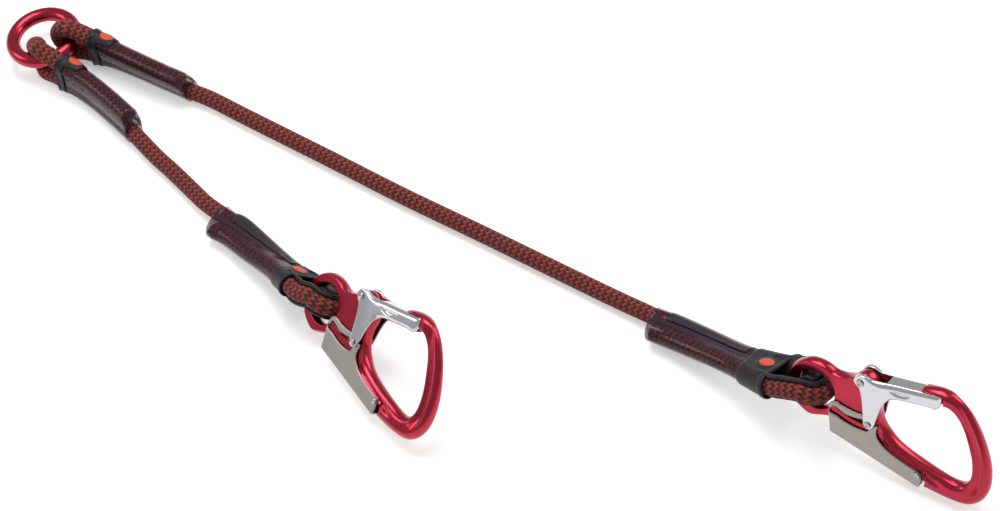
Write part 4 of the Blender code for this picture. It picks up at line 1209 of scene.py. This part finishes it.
def round_line(centre, radius, start=0, end=360, steps=64):
    """Points along an arc in plan units; a full circle leaves its last point out."""
    angles = np.radians(np.linspace(start, end, steps + 1))
    if end - start == 360:
        angles = angles[:-1]
    x, y = centre[0] + radius * np.cos(angles), centre[1] + radius * np.sin(angles)
    return np.stack([x, y, 0 * angles], 1)


def slot_line(path, half):
    """The outline of a slot with round ends along a path in plan units."""
    way = unit(np.gradient(path, axis=0))
    side = np.stack([-way[:, 1], way[:, 0], 0 * way[:, 0]], 1) * half
    turns = [math.radians(a) for a in range(-15, -180, -15)]

    def cap(middle, arm):
        round_end = []
        for a in turns:
            x = arm[0] * math.cos(a) - arm[1] * math.sin(a)
            y = arm[0] * math.sin(a) + arm[1] * math.cos(a)
            round_end.append(middle + np.array((x, y, 0)))
        return round_end

    far, near = cap(path[-1], side[-1]), cap(path[0], -side[0])
    return np.vstack([path + side, far, (path - side)[::-1], near])


# %% [markdown]
# ## Cutting a plate
# A flat curve with holes fills to a plate, and its extrusion gives the thickness. Everything that
# is cut out of a hook is such a plate too, taken away by a Boolean. The voxel remesh afterwards
# gives corners close and even enough to be moved one by one.

# %% Plates and cuts


def plate(outlines, low, high, edge=0.0, steps=4):
    """A flat plate from plan outlines: the first is its rim and any others are holes."""
    curve = bpy.data.curves.new("plate_line", "CURVE")
    curve.dimensions = "2D"
    curve.fill_mode = "BOTH"
    curve.extrude = (high - low) / 2 - edge
    curve.bevel_depth = edge
    curve.bevel_resolution = steps
    curve.offset = -edge
    for line in outlines:
        spline = curve.splines.new("POLY")
        spline.points.add(len(line) - 1)
        for target, point in zip(spline.points, line):
            target.co = (point[0] * PLAN, point[1] * PLAN, 0, 1)
        spline.use_cyclic_u = True
    work = curve_mesh(curve)
    bmesh.ops.translate(work, verts=work.verts, vec=(0, 0, (low + high) / 2))
    return in_scene("plate", as_mesh("plate", work))


def carve(base, cutters, voxel):
    """The base with each cutter taken away and an even skin of voxels, as a bmesh."""
    for k, cutter in enumerate(cutters):
        step = base.modifiers.new(f"cut {k}", "BOOLEAN")
        step.operation = "DIFFERENCE"
        step.object = cutter
        step.solver = "EXACT"
    step = base.modifiers.new("even skin", "REMESH")
    step.mode = "VOXEL"
    step.voxel_size = voxel
    work = evaluated(base)
    for used in [base, *cutters]:
        old = used.data
        bpy.data.objects.remove(used, do_unlink=True)
        bpy.data.meshes.remove(old)
    return work


# %% [markdown]
# ## Rounding by distance
# A bevel can't follow a rim this curved without tearing. So every corner is asked how far it is
# from the rim, and a rule moves it in over the face and down the wall on a smooth round. The same
# distances press grooves along a line.

# %% Distances in the plan


def from_line(spots, line, closed=True):
    """Each spot's distance from a line, in plan units."""
    start = np.array(line)[:, :2]
    end = np.roll(start, -1, axis=0) if closed else start[1:]
    start = start if closed else start[:-1]
    best = np.full(len(spots), np.inf)
    for s, d in zip(start, end - start):
        share = np.clip(((spots - s) @ d) / max(d @ d, 1e-12), 0, 1)
        best = np.minimum(best, np.linalg.norm(spots - s - share[:, None] * d, axis=1))
    return best


def within(spots, line):
    """True where a spot is inside a closed outline."""
    start = np.array(line)[:, :2]
    end = np.roll(start, -1, axis=0)
    inside = np.zeros(len(spots), bool)
    for s, e in zip(start, end):
        crosses = (s[1] > spots[:, 1]) != (e[1] > spots[:, 1])
        at = s[0] + (spots[:, 1] - s[1]) * (e[0] - s[0]) / (e[1] - s[1] + 1e-12)
        inside ^= crosses & (spots[:, 0] < at)
    return inside


def way_in(spots, lines):
    """The way into the metal at each spot: from a rim inward, and from a hole outward."""
    middles, normals = [], []
    for k, line in enumerate(lines):
        start = np.array(line)[:, :2]
        end = np.roll(start, -1, axis=0)
        step = end - start
        area = np.sum(start[:, 0] * end[:, 1] - end[:, 0] * start[:, 1])
        turn = 1 if (area > 0) == (k == 0) else -1
        middles.append((start + end) / 2)
        normals.append(unit(np.stack([-step[:, 1], step[:, 0]], 1) + 1e-9) * turn)
    middles, normals = np.vstack(middles), np.vstack(normals)
    found = np.zeros_like(spots)
    for low in range(0, len(spots), 4000):
        part = spots[low:low + 4000]
        away = np.linalg.norm(part[:, None, :] - middles[None, :, :], axis=2)
        found[low:low + 4000] = normals[np.argmin(away, axis=1)]
    return found


# %% Rounding and pressing
TOP_BAND, WALL_BAND = 0.4, 0.5
GROOVE_FADES, GROOVE_FULL_AT = 14.0, 0.75


def soften(spots, lines, half, reach, drop, kept=None):
    """Turns the square edge along the outlines into a round one, in place.

    The round goes in over the flat face by reach and down the wall by drop, in plan units."""
    flat = spots[:, :2] / PLAN
    full = half / PLAN
    height = np.abs(spots[:, 2]) / PLAN
    inside = within(flat, lines[0])
    for hole in lines[1:]:
        inside &= ~within(flat, hole)
    gap = np.min([from_line(flat, line) for line in lines], axis=0)
    gap = np.where(inside, gap, 0)
    on_top = height > full - TOP_BAND
    path = np.where(on_top, full + gap, height)
    share = np.clip((path - full + drop) / (drop + reach), 0, 1)
    moves = (on_top | (gap < WALL_BAND)) & (share > 0) & (share < 1)
    if kept is not None:
        moves &= ~kept
    shift = np.where(moves, reach * (1 - np.cos(share * math.pi / 2)) - gap, 0)
    new_height = np.where(moves, full - drop + drop * np.sin(share * math.pi / 2), height)
    spots[:, :2] = (flat + way_in(flat, lines) * shift[:, None]) * PLAN
    spots[:, 2] = np.sign(spots[:, 2]) * new_height * PLAN


def press(spots, line, depth, width, full):
    """Presses a groove with soft sides and fading ends along a line into both faces."""
    route = read_route([(x, y, 0) for x, y in line], np.linspace(0, len(line) - 1, 40))
    away = from_line(spots[:, :2] / PLAN, route, closed=False)
    height = np.abs(spots[:, 2])
    ends = [np.linalg.norm(spots[:, :2] / PLAN - route[end][:2], axis=1) for end in (0, -1)]
    sink = depth * np.exp(-((away / width) ** 4)) * ease(height / (GROOVE_FULL_AT * full))
    sink *= ease(np.minimum(*ends) / GROOVE_FADES)
    spots[:, 2] = np.sign(spots[:, 2]) * (height - sink)


def read_back(work, spots, rounds=2):
    """Puts moved spots back in the mesh and smooths away the steps of the voxels."""
    move_to(work, spots)
    for _ in range(rounds):
        bmesh.ops.smooth_vert(
            work, verts=work.verts, factor=0.5, use_axis_x=True, use_axis_y=True, use_axis_z=True
        )
    bmesh.ops.recalc_face_normals(work, faces=work.faces)
    return work


def sharp(points):
    """The same points as corners that stay sharp."""
    return plan_line([(x, y, 1) for x, y in points], 1)


# %% [markdown]
# ## The frame
# The eye's rim is a round bead, the neck between eye and bow is flat, and the spine and bow are
# full and round with a shallow groove. So the round is wider on the bow and round the eye, and
# narrow at the neck. The nose keeps its square edges, which the gate's slit closes on.

# %% Frame
FRAME_VOXEL = 0.6 * MM
NECK_ROUND, SPINE_ROUND, BOW_ROUND, EYE_ROUND = 2.2, 1.6, 2.9, 1.9
EYE_BEAD, EYE_BEAD_OVER = 20.5, 3.5
BOW_FROM, BOW_OVER, SPINE_FROM, SPINE_OVER = 52, 16, 24, 12
NECK_STEP, NECK_UNDER = 1.2, 0.1 * MM
BOW_PRESS, SPINE_PRESS = (2.2 * MM, 3.0), (2.0 * MM, 1.8)
EYE_HOLE, FRAME_SLOT_HALF, FRAME_SLOT_BACK, FRAME_SLOT_ON = 13.2, 3.2, 43, 1
CUT_HALF = 9 * MM
TONGUE_HALF = 2.2 * MM
PIN_REACH = math.hypot(*ARM_PIN)
PIN_ANGLE = math.degrees(math.atan2(ARM_PIN[1], ARM_PIN[0]))


def forged_frame():
    """The frame in its own plan, in metres from the gate's hinge."""
    rim, hole = plan_line(FRAME_RIM), round_line(HOOK_EYE, EYE_HOLE)
    start, end = PIN_ANGLE - FRAME_SLOT_BACK, PIN_ANGLE + FRAME_SLOT_ON
    arc = round_line((0, 0), PIN_REACH, start, end, 24)
    slot = slot_line(arc[::-1], FRAME_SLOT_HALF)
    cutters = [
        plate([slot], -CUT_HALF, CUT_HALF),
        plate([sharp(NOSE_SIDE)], TONGUE_HALF, CUT_HALF),
        plate([sharp(NOSE_SIDE)], -CUT_HALF, -TONGUE_HALF),
        plate([sharp(NOSE_UNDERSIDE)], -CUT_HALF, CUT_HALF),
    ]
    work = carve(plate([rim, hole], -FRAME_HALF, FRAME_HALF), cutters, FRAME_VOXEL)
    spots = places_of(work)
    flat = spots[:, :2] / PLAN
    far = np.linalg.norm(flat - HOOK_EYE, axis=1)
    bow = ease((flat[:, 0] - BOW_FROM) / BOW_OVER)
    spine = ease((flat[:, 0] - SPINE_FROM) / SPINE_OVER) * (1 - bow)
    eye = 1 - ease((far - EYE_BEAD) / EYE_BEAD_OVER)
    reach = NECK_ROUND + BOW_ROUND * bow + EYE_ROUND * eye + SPINE_ROUND * spine
    nose = within(flat, NOSE_SIDE) | within(flat, NOSE_UNDERSIDE)
    soften(spots, [rim, hole], FRAME_HALF, reach, FRAME_HALF / PLAN, nose)
    flat = spots[:, :2] / PLAN
    gap = from_line(flat, NECK_EDGE)
    depth = np.where(within(flat, NECK_EDGE), gap, -gap)
    step = ease((depth + NECK_STEP) / NECK_STEP)
    limit = FRAME_HALF - (FRAME_HALF - NECK_HALF + NECK_UNDER) * step
    spots[:, 2] = np.sign(spots[:, 2]) * np.minimum(np.abs(spots[:, 2]), limit)
    press(spots, BOW_GROOVE, *BOW_PRESS, FRAME_HALF)
    press(spots, SPINE_GROOVE, *SPINE_PRESS, FRAME_HALF)
    return read_back(work, spots, 3)


# %% [markdown]
# ## The gate
# The gate is a thick bar with heavy round edges, and two thin cheeks that straddle the neck. It
# starts as one plate with the gate's whole outline. Cuts clear the room between the cheeks, the
# room for the neck and the slit for the nose's tongue. A lens-shaped hollow is pressed in, and
# the bar grows thinner from its hub to its free end.

# %% Gate
GATE_VOXEL = 0.48 * MM
SLIT_HALF = 2.8 * MM
HINGE_HOLE, ARM_HOLE = 2.4, 2.1
GATE_RIM = [
    (-5.0, -0.8), (-3.4, 4.0), (1.2, 5.9), (8.0, 6.3), (20.0, 11.2), (35.0, 17.7), (46.6, 22.9),
    (51.6, 24.4), (53.0, 18.4), (51.4, 12.8), (45.0, 10.4), (35.0, 6.0), (26.5, 2.0), (21.2, -1.8),
    (18.8, -7.0), (18.3, -14.0), (18.6, -25.0), (17.6, -29.6), (14.6, -31.6), (11.6, -29.9),
    (9.0, -23.5), (5.2, -13.5), (1.0, -5.5), (-2.6, -3.4),
]
CHEEK_ROOM = [
    (-14.0, -40.0), (34.0, -40.0), (34.0, 5.6), (26.0, 2.2), (20.0, -1.2), (15.0, -5.4), (6.0, -7.4),
    (-2.0, -5.4), (-14.0, -5.4),
]
BAR_SLOPE = math.radians(24.3)
LENS_FROM, LENS_TO, LENS_TOP, LENS_DEEP = 19.0, 38.0, -1.4, 5.0
LENS_PRESS, LENS_SOFT, LENS_LEAN, FACE_FROM = 1.3 * MM, 1.6, 0.8, 0.6
CHEEK_ROUND, BAR_ROUND_IN, BAR_ROUND_DOWN = 0.8, 2.8, 3.0
BAR_FROM, BAR_OVER, BAR_LOW, BAR_LOW_OVER = 1, 15, 13, 3.5
SLIT_WALL = 3.3 * MM
THINNED, THIN_FROM, THIN_OVER = 0.30, 5, 22


def polished_gate():
    """The gate in its own plan, in metres from its hinge."""
    rim = plan_line(GATE_RIM)
    cutters = [
        plate([sharp(CHEEK_ROOM)], -CHEEK_IN, CHEEK_IN),
        plate([sharp(NECK_SWEEP)], -PLATE_IN, PLATE_IN),
        plate([sharp(TONGUE_SLIT)], -SLIT_HALF, SLIT_HALF),
    ]
    for middle, radius in (((0, 0), HINGE_HOLE), (ARM_PIN, ARM_HOLE)):
        cutters.append(plate([round_line(middle, radius)], -CUT_HALF, CUT_HALF))
    work = carve(plate([rim], -CHEEK_OUT, CHEEK_OUT), cutters, GATE_VOXEL)
    spots = places_of(work)
    flat = spots[:, :2] / PLAN
    along = flat[:, 0] * math.cos(BAR_SLOPE) + flat[:, 1] * math.sin(BAR_SLOPE)
    aside = flat[:, 1] * math.cos(BAR_SLOPE) - flat[:, 0] * math.sin(BAR_SLOPE)
    bar = ease((along - BAR_FROM) / BAR_OVER) * ease((aside + BAR_LOW) / BAR_LOW_OVER)
    reach, drop = CHEEK_ROUND + BAR_ROUND_IN * bar, CHEEK_ROUND + BAR_ROUND_DOWN * bar
    soften(spots, [rim], CHEEK_OUT, reach, drop)
    middle, half = (LENS_FROM + LENS_TO) / 2, (LENS_TO - LENS_FROM) / 2
    low = LENS_TOP - LENS_DEEP * (1 - ((along - middle) / half) ** 2)
    inside = np.minimum(LENS_TOP - aside, (aside - low) * LENS_LEAN)
    height = np.abs(spots[:, 2])
    on_face = height > FACE_FROM * CHEEK_OUT
    height = height - LENS_PRESS * ease(inside / LENS_SOFT) * on_face
    thinner = 1 - THINNED * ease((along - THIN_FROM) / THIN_OVER)
    height = np.where(height > SLIT_WALL, SLIT_WALL + (height - SLIT_WALL) * thinner, height)
    spots[:, 2] = np.sign(spots[:, 2]) * height
    return read_back(work, spots)


# %% [markdown]
# ## The palm lever
# The lever is one sheet of steel folded to a channel round the spine. Each side plate has a long
# curved slot near the eye, and the track in which the gate's arm pin runs.

# %% Palm lever
LEVER_VOXEL, LEVER_EDGE = 0.42 * MM, 0.4 * MM
LEVER_SLOT_OUT, LEVER_SLOT_HALF, TRACK_HALF, RIVET_HOLE = 4.2, 3.0, 2.2, 2.0
LEVER_SLOT_FROM, LEVER_SLOT_TO = -69.3, -106.0
LEVER_ROOM = [(-40.0, -51.2), (80.0, -51.2), (80.0, 0.0), (-40.0, 0.0)]
GATE_OPENS, LEVER_SQUEEZES = 42.0, 5.0


def pin_track():
    """The arm pin's path in the lever's plan, as the gate opens and the lever goes with it.

    It goes an eighth of the way farther at both ends, for play."""
    path = []
    for share in np.linspace(-0.125, 1.125, 11):
        opened, back = -math.radians(GATE_OPENS * share), math.radians(LEVER_SQUEEZES * share)
        pin = Matrix.Rotation(opened, 2) @ Vector(ARM_PIN) - Vector(RIVET)
        path.append((*(Matrix.Rotation(back, 2) @ pin + Vector(RIVET)), 0))
    return np.array(path)


def folded_lever():
    """The lever in its own plan, in metres from the gate's hinge."""
    reach = PIN_REACH + LEVER_SLOT_OUT
    arc = round_line((0, 0), reach, LEVER_SLOT_FROM, LEVER_SLOT_TO, 24)
    cuts = [slot_line(arc, LEVER_SLOT_HALF), slot_line(pin_track(), TRACK_HALF)]
    cuts.append(round_line(RIVET, RIVET_HOLE))
    cutters = [plate([sharp(LEVER_ROOM)], -PLATE_IN, PLATE_IN)]
    cutters += [plate([line], -CUT_HALF, CUT_HALF) for line in cuts]
    blank = plate([plan_line(PLATE_RIM)], -PLATE_OUT, PLATE_OUT, LEVER_EDGE, 3)
    work = carve(blank, cutters, LEVER_VOXEL)
    return read_back(work, places_of(work))


# %% [markdown]
# ## Pins and rivets
# A pin is a short profile spun about its own axis: a shank and two low heads, each with a dished
# middle and a round edge, as a riveted pin has.

# %% Pins
HEAD_RISE, HEAD_PLAY = 0.8 * MM, 0.2 * MM


def riveted_pin(shank, head, seat):
    """A pin along Z with a head outside each seat."""
    top = [(head, 0.0), (head, 0.35), (0.9 * head, 0.8), (0.68 * head, 1.0), (0.5 * head, 0.75),
           (0.3 * head, 0.5), (0.0, 0.45)]
    upper = [(shank, 0.0), (shank, seat)] + [(r, seat + share * HEAD_RISE) for r, share in top]
    profile = [(r, -z) for r, z in upper[:0:-1]] + upper[1:]
    work = bmesh.new()
    line = [work.verts.new((r, 0, z)) for r, z in profile]
    edges = [work.edges.new(pair) for pair in zip(line, line[1:])]
    bmesh.ops.spin(
        work, geom=line + edges, cent=(0, 0, 0), axis=(0, 0, 1), angle=math.tau, steps=48,
        use_merge=True,
    )
    return welded(work)


PINS = {
    "gate_pin": ((0, 0), 2.0 * MM, 2.5 * MM, CHEEK_OUT + HEAD_PLAY, "hook"),
    "arm_pin": (ARM_PIN, 1.7 * MM, 2.3 * MM, CHEEK_OUT + HEAD_PLAY, "gate"),
    "rivet": (RIVET, 1.6 * MM, 2.2 * MM, PLATE_OUT + HEAD_PLAY, "hook"),
}

# %% [markdown]
# ## Two hooks
# Both legs carry the same hook. Each piece is made once and set down with each hook's own matrix.

# %% Hooks set down
made_once = {
    "frame": (forged_frame(), "hook", RED, "red_alloy"),
    "gate": (polished_gate(), "gate", SILVER, "silver_alloy"),
    "lever": (folded_lever(), "lever", STEEL, "satin_steel"),
}
for node, (middle, shank, head, seat, body) in PINS.items():
    work = riveted_pin(shank, head, seat)
    bmesh.ops.translate(work, verts=work.verts, vec=(middle[0] * PLAN, middle[1] * PLAN, 0))
    made_once[node] = (work, body, BRIGHT, "bright_steel")
from_hinge = Matrix.Translation((-HOOK_EYE[0] * PLAN, -HOOK_EYE[1] * PLAN, 0))
for leg, data in LEGS.items():
    for node, (shape, body, finish, slot) in made_once.items():
        work = shape.copy()
        work.transform(hook_matrix(data["stand"]) @ from_hinge)
        bmesh.ops.recalc_face_normals(work, faces=work.faces)
        made = show(f"{leg}_{node}", work, f"{leg}_{body}", finish, f"{leg}_hook_{node}")
        print(leg, node, "faces", len(made.data.polygons))
for shape, *_ in made_once.values():
    shape.free()

# %% [markdown]
# ## Springs
# The gate's and the lever's springs lie inside the hook. Their shape in the frame is right, so
# they only get a better finish.

# %% Springs
for leg in LEGS:
    for node in ("gate_spring", "lever_spring"):
        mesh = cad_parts[f"{leg}_hook_{node}"].data
        mesh.materials.clear()
        mesh.materials.append(BRIGHT)
print("springs finished")
